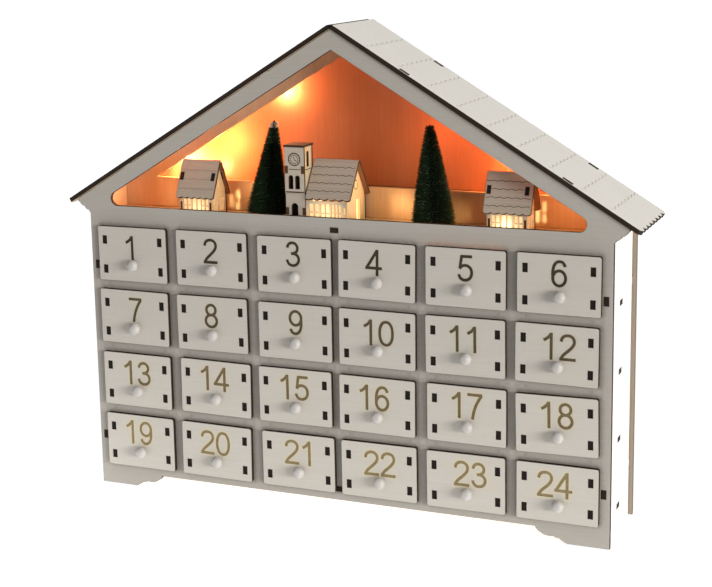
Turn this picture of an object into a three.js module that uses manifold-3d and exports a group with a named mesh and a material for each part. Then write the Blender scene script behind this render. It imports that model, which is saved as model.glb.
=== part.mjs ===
// House-shaped advent calendar in laser-cut 3 mm plywood: 24 pull-out drawers,
// a lit attic with small buildings and trees, a pitched roof and a battery light string.
// Millimetres, +Z up, the drawers face -Y. Origin: middle of the base, on the table.
import * as THREE from 'three';
import { mergeVertices } from 'three/addons/utils/BufferGeometryUtils.js';
import Module from 'manifold-3d';

const wasm = await Module();
wasm.setup();

// ---------- driving dimensions ----------
const T = 3;                    // plywood thickness
const GAP = 0.3;                // clearance between pieces that touch
const Y0 = -29.75;              // front face of the front panel
const HALF_W = 184;             // half width of front and back panels
const BOTTOM = 9.3;             // lower edge of the panels between the feet
const FOOT_IN = 157;            // inner end of the flat of a foot
const CORBEL_Z = 195.8;         // where the corbels start
const CORBEL_X = 193.5;         // half width at the top of the corbels
const SLOPE = 31.4 * Math.PI / 180;
const RIDGE_Z = 323.4;          // underside of the roof at the ridge
const SLAB_L = 234.2;           // roof slab, ridge to eave
const ROOF_FRONT = -1.5, ROOF_BACK = 69;
const ROOF_TABS = [56, 179.3];  // tab centres along the slope
const TAB_U = 6.5;              // tab length along the slope
const BACK_Y = 64;              // front face of the back panel
const WALL_X = 181.2;           // outer face of the side walls
const COLS = 6, ROWS = 4;
const COLUMN_X = [-149.95, -89.6, -28.6, 30, 90.25, 150.25];  // drawer centres
const ROW_Z = [167.9, 123.15, 78.2, 33.3];                    // top row first
const SHELF_DROP = 16.2;        // shelf centre below its drawer row's centre
const ATTIC_Z = 193.5;          // centre of the attic floor
const HOLE_W = 48, HOLE_B = -15.2, HOLE_T = 16;   // drawer opening, about the row centre
const FRONT_W = 53.2, FRONT_H = 38, FRONT_R = 1.5;   // drawer front plate
const PLATE_UP = 0.75;          // the plate sits a little above its tray's centre
const TRAY_W = 46, TRAY_H = 29, TRAY_L = 57;
const KNOB_DROP = 6.4, KNOB_R = 4, KNOB_OUT = 6.3, KNOB_DX = 1;
const WIN_APEX = 310, WIN_SILL = 201.4, WIN_X = 180, WIN_R = 5; // gable window, sharp corner at WIN_X
const BAFFLE_Y = 40, BAFFLE_SILL = 216.2, BAFFLE_X = 153.5, BAFFLE_APEX = 309.5;
const FLOOR = ATTIC_Z + T / 2;
const SIDE_TABS = [159.5, 35.8];   // heights of the side walls' tabs in the panels
const COTTAGES = [
  { name: 'cottage_left', x0: -118.3, x1: -93.5, y0: 9, y1: 31, eave: 209.6, ridge: 231.7, lead: -106, ov0: 1.3, ov1: 2 },
  { name: 'cottage_right', x0: 100.6, x1: 126.8, y0: 9, y1: 28, eave: 210.2, ridge: 232.9, lead: 112, ov0: 2, ov1: 3 },
];
const NAVE = { x0: -22.2, x1: 7, y0: 5.6, y1: 38.2, eave: 212.1, ridge: 235.4 };
const TOWER = { x0: -36.8, x1: -22.7, y0: 5.2, y1: 19.2, top: 246 };
const TREES = [
  { name: 'tree_left', x: -57.7, y: 21.5, r: 15.3, h: 70.2, lean: 0.105, bulge: 0.95 },
  { name: 'tree_right', x: 60.8, y: 21.5, r: 15, h: 70.6, lean: -0.034, bulge: 0.85 },
];
const BOX = { x0: -48, x1: 72, z0: FLOOR + 0.3, z1: 213, y0: 45.8, y1: 67.6 };   // battery box
const WIRE_R = 0.8;

const P = { // colours from the photograph, roughness, metalness
  grey: [0xa8a49e, 0.75], pale: [0xd6d0c6, 0.7], roof: [0xdedad1, 0.75], white: [0xe9e6df, 0.7], raw: [0xaa947c, 0.8],
  inner: [0xb98f63, 0.8], tree: [0x1d261d, 0.95], black: [0x1b1b1c, 0.5], cell: [0xb9b9bc, 0.4, 0.6], wire: [0x50583f, 0.6],
  lamp: [0xffd9a0, 0.25],
};
const root = new THREE.Group();
const V = (x, y, z) => new THREE.Vector3(x, y, z);

function mesh(name, geometry, colour, basis, pos) {
  const [c, r, m] = P[colour];
  const o = new THREE.Mesh(geometry, new THREE.MeshStandardMaterial({ color: c, roughness: r, metalness: m || 0 }));
  o.name = name;
  if (basis) o.setRotationFromMatrix(new THREE.Matrix4().makeBasis(...basis));
  if (pos) o.position.copy(pos);
  root.add(o);
  return o;
}
const outline = pts => new THREE.Shape(pts.map(p => new THREE.Vector2(p[0], p[1])));
const rectPath = (x0, y0, x1, y1) => new THREE.Path([[x0, y0], [x1, y0], [x1, y1], [x0, y1]].map(p => new THREE.Vector2(...p)));
const sheet = (shape, t = T) => new THREE.ExtrudeGeometry(shape, { depth: t, bevelEnabled: false, curveSegments: 4 });
function cutSheet(shape, t = T) {      // a sheet whose holes are cut through it
  const holes = shape.holes;
  shape.holes = [];
  let m = solid(sheet(shape, t));
  for (const h of holes) m = m.subtract(solid(sheet(new THREE.Shape(h.getPoints(1)), t + 2), new THREE.Matrix4().makeTranslation(0, 0, -1)));
  return toGeometry(m);
}
const XZ = [V(1, 0, 0), V(0, 0, 1), V(0, -1, 0)];      // sheet drawn in x,z, extruded towards the front
const YZ = [V(0, 1, 0), V(0, 0, 1), V(1, 0, 0)];       // sheet drawn in y,z, extruded towards +X

// a solid for joining and cutting
function solid(geometry, matrix) {
  let g = geometry.clone();
  if (matrix) g.applyMatrix4(matrix);
  g.deleteAttribute('normal'); g.deleteAttribute('uv');
  g = mergeVertices(g, 1e-4);
  return new wasm.Manifold(new wasm.Mesh({
    numProp: 3, vertProperties: new Float32Array(g.attributes.position.array), triVerts: new Uint32Array(g.index.array),
  }));
}
function toGeometry(m) {
  const r = m.getMesh();
  const g = new THREE.BufferGeometry();
  g.setAttribute('position', new THREE.BufferAttribute(new Float32Array(r.vertProperties), 3));
  g.setIndex(new THREE.BufferAttribute(new Uint32Array(r.triVerts), 1));
  g.computeVertexNormals();
  return g;
}
function block(x0, y0, z0, x1, y1, z1) {
  const g = new THREE.BoxGeometry(x1 - x0, y1 - y0, z1 - z0);
  g.translate((x0 + x1) / 2, (y0 + y1) / 2, (z0 + z1) / 2);
  return solid(g);
}
const joined = list => list.reduce((a, b) => a.add(b));
const cut = (a, list) => list.reduce((x, y) => x.subtract(y), a);

// ---------- gable outline shared by the front and back panels ----------
const roofLine = x => RIDGE_Z - Math.abs(x) * Math.tan(SLOPE);      // underside of the roof
const cs = Math.cos(SLOPE), sn = Math.sin(SLOPE);
function gableHalf() {        // right half, from the bottom middle, anticlockwise
  const p = [[135.6, BOTTOM], [136.9, 7.2], [139.3, 5.6], [141.9, 4.2], [147.4, 4.0], [151.6, 3.0], [154.2, 1.2], [FOOT_IN, 0],
    [HALF_W, 0], [HALF_W, CORBEL_Z], [185.2, 197.6], [187.4, 198.3], [188.6, 200.1], [190.8, 200.9], [192.0, 202.8], [CORBEL_X, 203.6]];
  p.push([CORBEL_X, roofLine(CORBEL_X) - 0.35]);
  for (const u of [...ROOF_TABS].reverse()) {      // tabs that pass through the roof, flush with its top
    for (const [du, h] of [[TAB_U / 2, -0.3], [TAB_U / 2, T], [-TAB_U / 2, T], [-TAB_U / 2, -0.3]]) {
      const uu = u + du;
      p.push([uu * cs + h * sn, RIDGE_Z - uu * sn + h * cs]);
    }
  }
  p.push([0, RIDGE_Z - 0.35]);
  return p;
}
function gable() {
  const r = gableHalf();
  const l = r.slice(0, -1).map(p => [-p[0], p[1]]).reverse();
  return outline([...r, ...l]);
}
function windowPath(apex, sill, corner, radius, steps) {   // triangle with rounded lower corners
  const slope = Math.atan2(apex - sill, corner);
  const tan = radius / Math.tan(slope / 2);
  const pts = [];
  const arc = sgn => {
    const cx = corner - tan, cz = sill + radius;
    const a = [];
    for (let i = 0; i <= steps; i++) {
      const t = -Math.PI / 2 + (Math.PI - slope) * i / steps;
      a.push([sgn * (cx + radius * Math.cos(t)), cz + radius * Math.sin(t)]);
    }
    return a;
  };
  pts.push(...arc(1), [0, apex], ...arc(-1).reverse());
  return new THREE.Path(pts.map(p => new THREE.Vector2(...p)));
}
const columnX = c => COLUMN_X[c];
const rowZ = r => ROW_Z[r];      // r = 0 at the top

// ---------- front and back panels ----------
{
  const s = gable();
  s.holes.push(windowPath(WIN_APEX, WIN_SILL, WIN_X, WIN_R, 5));
  for (let r = 0; r < ROWS; r++) for (let c = 0; c < COLS; c++) {
    const x = columnX(c), z = rowZ(r);
    s.holes.push(rectPath(x - HOLE_W / 2, z + HOLE_B, x + HOLE_W / 2, z + HOLE_T));
  }
  for (const z of SIDE_TABS) for (const sg of [-1, 1]) {
    const x = sg * (WALL_X - T / 2);
    s.holes.push(rectPath(x - 1.7, z - 2.9, x + 1.7, z + 2.9));
  }
  s.holes.push(rectPath(-2.9, ATTIC_Z - 1.75, 2.9, ATTIC_Z + 1.75));
  s.holes.push(rectPath(-2.9, rowZ(ROWS - 1) - SHELF_DROP - 1.75, 2.9, rowZ(ROWS - 1) - SHELF_DROP + 1.75));
  mesh('front_panel', cutSheet(s), 'grey', XZ, V(0, Y0 + T, 0));
}
{
  const s = gable();
  for (const z of SIDE_TABS) for (const sg of [-1, 1]) {
    const x = sg * (WALL_X - T / 2);
    s.holes.push(rectPath(x - 1.7, z - 2.9, x + 1.7, z + 2.9));
  }
  s.holes.push(rectPath(BOX.x0 - 0.4, BOX.z0 - 0.25, BOX.x1 + 0.4, BOX.z1 + 0.4));
  for (const x of [-120, 120]) s.holes.push(rectPath(x - 2.9, ATTIC_Z - 1.75, x + 2.9, ATTIC_Z + 1.75));
  mesh('back_panel', cutSheet(s), 'raw', XZ, V(0, Y0 + BACK_Y + T, 0));
}

// ---------- side walls ----------
const SHELF_Z = [3, 2, 1, 0].map(r => rowZ(r) - SHELF_DROP);      // lowest first
for (const [name, sg] of [['side_wall_left', -1], ['side_wall_right', 1]]) {
  const top = roofLine(WALL_X) - 0.6;
  const a = T + GAP, b = BACK_Y - GAP;
  const tab = (pts, y, dir) => {
    const zs = dir > 0 ? [...SIDE_TABS].reverse() : SIDE_TABS;
    for (const z of zs) for (const dz of [-2.6, 2.6].map(v => v * dir)) {
      const q = [[y, z + dz], [y + dir * (T + GAP - 0.1), z + dz]];
      pts.push(...(dz * dir < 0 ? q : q.reverse()));
    }
  };
  const pts = [[a, 0], [b, 0]];      // the walls reach the table, as the feet do
  tab(pts, b, 1);
  pts.push([b, top], [a, top]);
  tab(pts, a, -1);
  const s = outline(pts);
  for (const z of SHELF_Z) s.holes.push(rectPath(30, z - 1.75, 37.6, z + 1.75));
  mesh(name, cutSheet(s), 'white', YZ, V(sg > 0 ? WALL_X - T : -WALL_X, Y0, 0));
}

// ---------- roof ----------
for (const [name, sg] of [['roof_left', -1], ['roof_right', 1]]) {
  const yy = y => sg * y;
  const lobes = 8, w = (ROOF_BACK - ROOF_FRONT) / lobes, depth = 2.2;
  const pts = [[0.25, yy(ROOF_BACK)], [0.25, yy(ROOF_FRONT)]];
  for (let i = 0; i < lobes; i++) for (let k = i ? 1 : 0; k <= 4; k++) {
    const y = ROOF_FRONT + w * (i + k / 4);
    pts.push([SLAB_L - depth + depth * Math.sin(Math.PI * k / 4), yy(y)]);
  }
  if (sg < 0) pts.reverse();
  const s = outline(pts);
  for (const u of ROOF_TABS) for (const y of [0, BACK_Y]) {
    const h = TAB_U / 2 + 0.3;
    s.holes.push(rectPath(u - h, Math.min(yy(y - 0.3), yy(y + T + 0.3)), u + h, Math.max(yy(y - 0.3), yy(y + T + 0.3))));
  }
  const u = V(sg * cs, 0, -sn), n = V(sg * sn, 0, cs);
  mesh(name, cutSheet(s), 'roof', [u, V(0, sg, 0), n], V(0, Y0, RIDGE_Z));
}

// ---------- attic floor, shelves and dividers ----------
const INX = WALL_X - T - GAP;      // half width between the side walls
{
  const a = T + GAP, b = BACK_Y - GAP;
  const pts = [[-INX, a], [-2.6, a], [-2.6, 0.1], [2.6, 0.1], [2.6, a], [INX, a], [INX, b],
    [122.6, b], [122.6, b + T + 0.2], [117.4, b + T + 0.2], [117.4, b], [-117.4, b], [-117.4, b + T + 0.2], [-122.6, b + T + 0.2], [-122.6, b], [-INX, b]];
  mesh('attic_floor', sheet(outline(pts)), 'inner', null, V(0, Y0, ATTIC_Z - T / 2));
}
const MIDY = (T + BACK_Y) / 2;
const DIV_X = [-120, -60, 0, 60, 120];
SHELF_Z.forEach((z, i) => {
  const a = T + GAP, b = BACK_Y - GAP, slots = i > 0;
  const pts = [[-INX, a]];
  if (slots) for (const x of DIV_X) pts.push([x - 1.8, a], [x - 1.8, MIDY + 0.2], [x + 1.8, MIDY + 0.2], [x + 1.8, a]);
  else pts.push([-2.6, a], [-2.6, 0.1], [2.6, 0.1], [2.6, a]);
  pts.push([INX, a], [INX, 30.3], [WALL_X - 0.05, 30.3], [WALL_X - 0.05, 37.3], [INX, 37.3], [INX, b],
    [-INX, b], [-INX, 37.3], [-WALL_X + 0.05, 37.3], [-WALL_X + 0.05, 30.3], [-INX, 30.3]);
  mesh('shelf_' + (i + 1), sheet(outline(pts)), 'inner', null, V(0, Y0, z - T / 2));
});
DIV_X.forEach((x, i) => {
  const a = T + GAP, b = BACK_Y - GAP;
  const lo = SHELF_Z[0] + T / 2 + GAP, hi = ATTIC_Z - T / 2 - GAP;
  const pts = [[a, lo], [b, lo]];
  for (const z of SHELF_Z.slice(1)) pts.push([b, z - 1.8], [MIDY - 0.2, z - 1.8], [MIDY - 0.2, z + 1.8], [b, z + 1.8]);
  pts.push([b, hi], [a, hi]);
  mesh('divider_' + (i + 1), sheet(outline(pts)), 'inner', YZ, V(x - T / 2, Y0, 0));
});

// ---------- light baffle ----------
const LEAD_X = [-106, -8, 47, 112];      // where the lamp leads pass under the baffle
{
  const x = INX, up = v => roofLine(v) - 0.7;
  const pts = [[-x, FLOOR + GAP]];
  for (const l of LEAD_X) pts.push([l - 1.8, FLOOR + GAP], [l - 1.8, FLOOR + 3.6], [l + 1.8, FLOOR + 3.6], [l + 1.8, FLOOR + GAP]);
  pts.push([x, FLOOR + GAP], [x, up(x)], [0, up(0)], [-x, up(x)]);
  const s = outline(pts);
  s.holes.push(new THREE.Path([[-BAFFLE_X, BAFFLE_SILL], [BAFFLE_X, BAFFLE_SILL], [0, BAFFLE_APEX]].map(p => new THREE.Vector2(...p))));
  mesh('light_baffle', cutSheet(s), 'inner', XZ, V(0, Y0 + BAFFLE_Y + T, 0));
}

// ---------- cottages and church ----------
const WT = 1.6;      // wall of the small buildings
function gableHouse(h, over, windows, doorBack) {
  const { x0, x1, y0, y1, eave, ridge } = h, ym = (y0 + y1) / 2;
  const prism = (a, b, i, low) => {
    const s = outline([[y0 + i, low], [y1 - i, low], [y1 - i, eave - i * 0.6], [ym, ridge - i * 2.1], [y0 + i, eave - i * 0.6]]);
    return solid(sheet(s, b - a), new THREE.Matrix4().makeBasis(...YZ).setPosition(a, Y0, 0));
  };
  let m = prism(x0, x1, 0, FLOOR + 0.2).subtract(prism(x0 + WT, x1 - WT, WT, FLOOR - 1));
  m = cut(m, windows.map(w => block(w[0], Y0 + w[1], w[2], w[3], Y0 + w[4], w[5])));
  m = m.subtract(block(doorBack - 2.2, Y0 + y1 - 3, FLOOR - 1, doorBack + 2.2, Y0 + y1 + 1, FLOOR + 4));
  const len = Math.hypot(ym - y0, ridge - eave), ang = Math.atan2(ridge - eave, ym - y0);
  const nx = Math.sin(ang), nz = Math.cos(ang);
  for (const sg of [-1, 1]) {      // roof boards
    const q = (t, n) => [ym + sg * (Math.cos(ang) * t + nx * n), ridge - Math.sin(ang) * t + nz * n];
    const pts = [q(-0.3, -0.2), q(len + over, -0.2), q(len + over, 1.6), q(-0.8, 1.6)];
    if (sg < 0) pts.reverse();
    const s = outline(pts.reverse());
    m = m.add(solid(sheet(s, x1 - x0 + (h.ov0 ?? 1.7) + (h.ov1 ?? 1.7)), new THREE.Matrix4().makeBasis(...YZ).setPosition(x0 - (h.ov0 ?? 1.7), Y0, 0)));
  }
  return m;
}
function houseWindows(h, panes) {
  const w = [];
  for (const [a, b] of panes) w.push([h.x0 + a, h.y0 - 1, FLOOR + 3.2, h.x0 + b, h.y0 + 3, FLOOR + 11]);
  const ym = (h.y0 + h.y1) / 2;
  for (const [xa, xb] of [[h.x1 - 3, h.x1 + 1], [h.x0 - 1, h.x0 + 3]]) {
    w.push([xa, ym - 7, FLOOR + 3.2, xb, ym - 1.2, FLOOR + 11.4]);
    w.push([xa, ym + 1.2, FLOOR + 3.2, xb, ym + 7, FLOOR + 11.4]);
  }
  return w;
}
for (const h of COTTAGES) {
  const m = gableHouse(h, 2.3, houseWindows(h, [[3, 10], [h.x1 - h.x0 - 10, h.x1 - h.x0 - 3]]), h.lead);
  mesh(h.name, toGeometry(m), 'pale');
}
{
  const h = { ...NAVE, ov0: 0, ov1: 2.6 };
  const w = [[h.x0 + 2.4, h.y0 - 1, FLOOR + 3.5, h.x0 + 13.6, h.y0 + 3, FLOOR + 13.4], [h.x0 + 15.6, h.y0 - 1, FLOOR + 3.5, h.x0 + 26.6, h.y0 + 3, FLOOR + 13.4]];
  const ym = (h.y0 + h.y1) / 2;
  w.push([h.x1 - 3, ym - 9, FLOOR + 3.5, h.x1 + 1, ym - 2, FLOOR + 15], [h.x1 - 3, ym + 2, FLOOR + 3.5, h.x1 + 1, ym + 9, FLOOR + 15]);
  mesh('church_nave', toGeometry(gableHouse(h, 0.3, w, -8)), 'pale');
}
{
  const { x0, x1, y0, y1, top } = TOWER;
  let m = block(x0, Y0 + y0, FLOOR + 0.2, x1, Y0 + y1, top).add(block(x0 - 0.15, Y0 + y0 - 1, top - 0.5, x1 + 0.1, Y0 + y1 + 1, top + 1.4));
  m = m.subtract(block(x0 + WT, Y0 + y0 + WT, FLOOR - 1, x1 - WT, Y0 + y1 - WT, top - 2));
  const xm = (x0 + x1) / 2;
  m = cut(m, [-1, 1].map(sg => block(xm + sg * 2.8 - 1.3, Y0 + y0 - 1, FLOOR + 20, xm + sg * 2.8 + 1.3, Y0 + y0 + 3, FLOOR + 28)));
  m = m.subtract(block(xm - 2.3, Y0 + y0 - 1, FLOOR - 1, xm + 2.3, Y0 + y0 + 3, FLOOR + 9));
  m = m.subtract(block(x1 - 3, Y0 + y0 + 5.6, FLOOR + 34, x1 + 1, Y0 + y0 + 8.4, FLOOR + 43));
  mesh('church_tower', toGeometry(m), 'pale');
}

// ---------- bottle-brush trees ----------
for (const t of TREES) {
  const wide = f => t.r * (1 - f) ** t.bulge + 1.8 * f;      // radius from the brush's foot (0) to its tip (1)
  const prof = [[0, 0], [5, 0], [5, 1.4], [2, 1.7], [2, 2.4]];
  for (const f of [0, 0.05, 0.25, 0.5, 0.75, 0.92]) prof.push([wide(f), 3 + f * (t.h - 3)]);
  prof.push([1.7, t.h - 0.4], [0.7, t.h], [0, t.h]);
  const g = new THREE.LatheGeometry(prof.map(p => new THREE.Vector2(...p)), 18);
  const m = new THREE.Matrix4().makeBasis(V(1, 0, 0), V(0, 0, 1), V(0, -1, 0));
  g.applyMatrix4(m);
  const pos = g.attributes.position;
  for (let i = 0; i < pos.count; i++) pos.setX(i, pos.getX(i) + Math.max(0, pos.getZ(i) - 4) * t.lean);
  g.deleteAttribute('normal'); g.deleteAttribute('uv');
  const closed = mergeVertices(g, 1e-4); closed.computeVertexNormals();
  mesh(t.name, closed, 'tree', null, V(t.x, Y0 + t.y, FLOOR + 0.2));
}

// ---------- battery box, cells, cover and switch ----------
{
  const b = BOX, w = 1.5, sw = b.x1 - 12;      // the last 12 mm hold the switch
  let m = block(b.x0, Y0 + b.y0, b.z0, b.x1, Y0 + b.y1, b.z1);
  m = m.subtract(block(b.x0 + w, Y0 + b.y0 + w, b.z0 + w, sw - w, Y0 + b.y1 + 1, b.z1 - w));
  m = m.subtract(block(sw + 1, Y0 + b.y1 - 3, b.z0 + 5.2, b.x1 - 1.4, Y0 + b.y1 + 1, b.z1 - 4.5));
  mesh('battery_box', toGeometry(m), 'black');
  const zc = (b.z0 + b.z1) / 2, yc = Y0 + b.y0 + w + 7.4;
  for (const [i, x] of [[1, b.x0 + w + 26.2], [2, b.x0 + w + 78.2]]) {
    const g = new THREE.LatheGeometry([[0, -25.2], [6.6, -25.2], [6.9, -24.6], [6.9, 23.2], [2.7, 23.4], [2.7, 24.9], [0, 24.9]].map(p => new THREE.Vector2(...p)), 16);
    mesh('battery_' + i, toGeometry(solid(g)), 'cell', [V(0, 1, 0), V(1, 0, 0), V(0, 0, -1)], V(x, yc, zc));
  }
  let c = block(b.x0 + w + 0.4, Y0 + b.y1 - 1.6, b.z0 + w + 0.4, sw - w - 0.4, Y0 + b.y1 + 0.2, b.z1 - w - 0.4);
  for (let k = 0; k < 4; k++) c = c.add(block(b.x0 + 42 + k * 4, Y0 + b.y1 - 0.4, zc - 4, b.x0 + 43.6 + k * 4, Y0 + b.y1 + 0.9, zc + 4));
  mesh('battery_cover', toGeometry(c), 'black');
  const s0 = sw + 1, s1 = b.x1 - 1.4;
  mesh('switch_slider', toGeometry(block(s0 + 0.4, Y0 + b.y1 - 2.6, b.z0 + 5.6, s0 + 4.6, Y0 + b.y1 + 0.2, b.z1 - 4.9)
    .add(block(s0 + 1.4, Y0 + b.y1 - 0.2, b.z0 + 7, s0 + 3.6, Y0 + b.y1 + 1.4, b.z1 - 6.2))), 'black');
}

// ---------- light string: wire behind the baffle, three lamps behind it, three in the houses, one behind a tree ----------
const WY = BAFFLE_Y + T + 1.4;      // depth of the wire's run
const bandZ = x => (BAFFLE_APEX - (BAFFLE_APEX - BAFFLE_SILL) / BAFFLE_X * Math.abs(x) + roofLine(x)) / 2;   // middle of the baffle's sloping band
const LAMP_X = [-56.5, -146, 118];  // lamps behind the sloping band
{
  const low = FLOOR + 3.6;
  const way = [[BOX.x1 + 0.4, WY + 9, 205], [78, WY + 8, 204.6], [86, WY + 3, 202], [94, WY, low + 0.4], [106, WY, low], [122, WY, low], [142, WY, low + 0.6], [155, WY, low + 4], [161.5, WY, 209],
    [160, WY, 216], [150, WY, bandZ(150)], [134, WY, bandZ(134)], [118, WY, bandZ(118)], [90, WY, bandZ(90)], [60, WY, bandZ(60)], [30, WY, bandZ(30)], [12, WY, bandZ(12)], [0, WY, bandZ(0) - 2],
    [-12, WY, bandZ(12)], [-30, WY, bandZ(30)], [-56.5, WY, bandZ(56.5)], [-90, WY, bandZ(90)], [-120, WY, bandZ(120)], [-146, WY, bandZ(146)], [-160, WY, 217], [-161.5, WY, 209], [-155, WY, low + 4],
    [-142, WY, low + 0.6], [-122, WY, low], [-90, WY, low], [-50, WY, low], [-8, WY, low], [20, WY, low], [48, WY, low]].map(p => V(p[0], Y0 + p[1], p[2]));
  const curve = new THREE.CatmullRomCurve3(way, false, 'centripetal');
  const circle = [];
  for (let i = 0; i < 8; i++) circle.push([WIRE_R * Math.cos(i * Math.PI / 4), WIRE_R * Math.sin(i * Math.PI / 4)]);
  const g = new THREE.ExtrudeGeometry(outline(circle), { steps: 82, bevelEnabled: false, extrudePath: curve });
  mesh('led_wire', g, 'wire');
}
function bulb(name, x, y, z, dir, lead) {
  // 5 mm lamp with a domed end; the ones in the houses carry their own lead
  const prof = [[0, 0], [2.8, 0], [2.8, 1], [2.4, 1.1], [2.4, 5.4], [1.8, 7], [0.9, 7.8], [0, 8]].map(p => new THREE.Vector2(...p));
  const d = V(...dir).normalize(), a = Math.abs(d.z) > 0.9 ? V(1, 0, 0) : V(0, 0, 1);
  const e1 = V().crossVectors(a, d).normalize(), e3 = V().crossVectors(e1, d);
  let m = solid(new THREE.LatheGeometry(prof, 10), new THREE.Matrix4().makeBasis(e1, d, e3).setPosition(x, Y0 + y, z));
  if (lead) {
    const g = new THREE.CylinderGeometry(WIRE_R, WIRE_R, lead - y + 1, 8);
    m = m.add(solid(g, new THREE.Matrix4().makeTranslation(x, Y0 + (y - 1 + lead) / 2, FLOOR + 1.6)));
  }
  mesh(name, toGeometry(m), 'lamp');
}
bulb('lamp_cottage_left', LEAD_X[0], 20, FLOOR + 1.2, [0, 0, 1], WY + 0.7);
bulb('lamp_church', LEAD_X[1], 22, FLOOR + 1.2, [0, 0, 1], WY + 0.7);
bulb('lamp_tree', LEAD_X[2], 35.6, FLOOR + 1.2, [0, 0, 1], WY + 0.7);
bulb('lamp_cottage_right', LEAD_X[3], 19, FLOOR + 1.2, [0, 0, 1], WY + 0.7);
LAMP_X.forEach((x, i) => bulb('lamp_back_' + (i + 1), x, WY + 1.1, bandZ(x), [0, 1, 0]));

// ---------- drawers ----------
function drawer(n) {
  const r = Math.floor((n - 1) / COLS), c = (n - 1) % COLS;
  const plate = new THREE.Shape();
  const w = FRONT_W / 2, h = FRONT_H / 2, q = FRONT_R;
  plate.moveTo(-w + q, -h).lineTo(w - q, -h).absarc(w - q, -h + q, q, -Math.PI / 2, 0).lineTo(w, h - q).absarc(w - q, h - q, q, 0, Math.PI / 2)
    .lineTo(-w + q, h).absarc(-w + q, h - q, q, Math.PI / 2, Math.PI).lineTo(-w, -h + q).absarc(-w + q, -h + q, q, Math.PI, 1.5 * Math.PI);
  const g = new THREE.ExtrudeGeometry(plate, { depth: T, bevelEnabled: false, curveSegments: 2 });
  const plateAt = new THREE.Matrix4().makeBasis(...XZ).setPosition(0, -0.2, PLATE_UP);
  let m = solid(g, plateAt);
  m = m.add(block(-TRAY_W / 2, -1, -TRAY_H / 2, TRAY_W / 2, TRAY_L, TRAY_H / 2)
    .subtract(block(-TRAY_W / 2 + T, -3, -TRAY_H / 2 + T, TRAY_W / 2 - T, TRAY_L - T, TRAY_H / 2 + 3)));
  const knob = new THREE.LatheGeometry([[0, -0.5], [2.4, -0.5], [2.4, 0.4], [KNOB_R * 0.86, 1.2], [KNOB_R, 3.1], [KNOB_R * 0.84, 5.3], [KNOB_R * 0.4, KNOB_OUT], [0, KNOB_OUT]].map(p => new THREE.Vector2(...p)), 10);
  m = m.add(solid(knob, new THREE.Matrix4().makeBasis(V(1, 0, 0), V(0, -1, 0), V(0, 0, -1)).setPosition(KNOB_DX, -0.2 - T, -KNOB_DROP)));
  mesh('drawer_' + String(n).padStart(2, '0'), toGeometry(m), 'pale', null, V(columnX(c), Y0, rowZ(r)));
}
for (let n = 1; n <= ROWS * COLS; n++) drawer(n);

export default root;
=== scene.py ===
import math
import random

import bpy
import numpy as np
from mathutils import Matrix, Vector, noise
from mathutils.geometry import delaunay_2d_cdt


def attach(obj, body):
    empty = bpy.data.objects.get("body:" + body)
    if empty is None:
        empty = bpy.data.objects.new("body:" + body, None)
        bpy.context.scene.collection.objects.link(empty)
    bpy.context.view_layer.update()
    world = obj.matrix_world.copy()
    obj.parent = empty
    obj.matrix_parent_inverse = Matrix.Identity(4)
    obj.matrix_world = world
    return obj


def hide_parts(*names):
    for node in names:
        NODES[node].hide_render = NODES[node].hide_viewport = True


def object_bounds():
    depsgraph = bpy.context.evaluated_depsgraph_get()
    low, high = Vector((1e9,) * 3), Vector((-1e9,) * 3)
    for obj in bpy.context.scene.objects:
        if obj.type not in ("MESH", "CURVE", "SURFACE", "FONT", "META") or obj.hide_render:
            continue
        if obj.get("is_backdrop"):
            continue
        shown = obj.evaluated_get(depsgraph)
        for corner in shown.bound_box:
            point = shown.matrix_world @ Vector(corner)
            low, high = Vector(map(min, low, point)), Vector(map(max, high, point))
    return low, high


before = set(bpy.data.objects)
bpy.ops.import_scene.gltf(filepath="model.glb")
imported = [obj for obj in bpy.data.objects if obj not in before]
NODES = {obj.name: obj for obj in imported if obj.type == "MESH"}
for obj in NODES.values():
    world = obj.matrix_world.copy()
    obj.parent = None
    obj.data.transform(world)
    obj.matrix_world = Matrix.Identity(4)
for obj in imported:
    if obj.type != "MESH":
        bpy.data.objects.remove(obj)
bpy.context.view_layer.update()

scene = bpy.context.scene
MM = 0.001

# ------------------------------------------------------------------ dimensions, in mm, as in the part's source
T = 3.0
Y0 = -29.75
HALF_W, BOTTOM, FOOT_IN = 184.0, 9.3, 157.0
CORBEL_Z, CORBEL_X = 195.8, 193.5
SLOPE = math.radians(31.4)
RIDGE_Z, SLAB_L = 323.4, 234.2
ROOF_FRONT, ROOF_BACK = -1.5, 69.0
ROOF_TABS, TAB_U = (56.0, 179.3), 6.5
BACK_Y, WALL_X = 64.0, 181.2
COLUMN_X = (-149.95, -89.6, -28.6, 30.0, 90.25, 150.25)
ROW_Z = (167.9, 123.15, 78.2, 33.3)
SHELF_DROP, ATTIC_Z = 16.2, 193.5
HOLE_W, HOLE_B, HOLE_T = 48.0, -15.2, 16.0
FRONT_W, FRONT_H, FRONT_R, PLATE_UP = 53.2, 38.0, 1.5, 0.75
TRAY_W, TRAY_H, TRAY_L = 46.0, 29.0, 57.0
KNOB_DROP, KNOB_R, KNOB_OUT, KNOB_DX = 6.4, 4.0, 6.3, 1.0
WIN_APEX, WIN_SILL, WIN_X, WIN_R = 310.0, 201.4, 180.0, 5.0
BAFFLE_Y, BAFFLE_SILL, BAFFLE_X, BAFFLE_APEX = 40.0, 216.2, 153.5, 309.5
FLOOR = ATTIC_Z + T / 2
SIDE_TABS = (159.5, 35.8)
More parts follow.
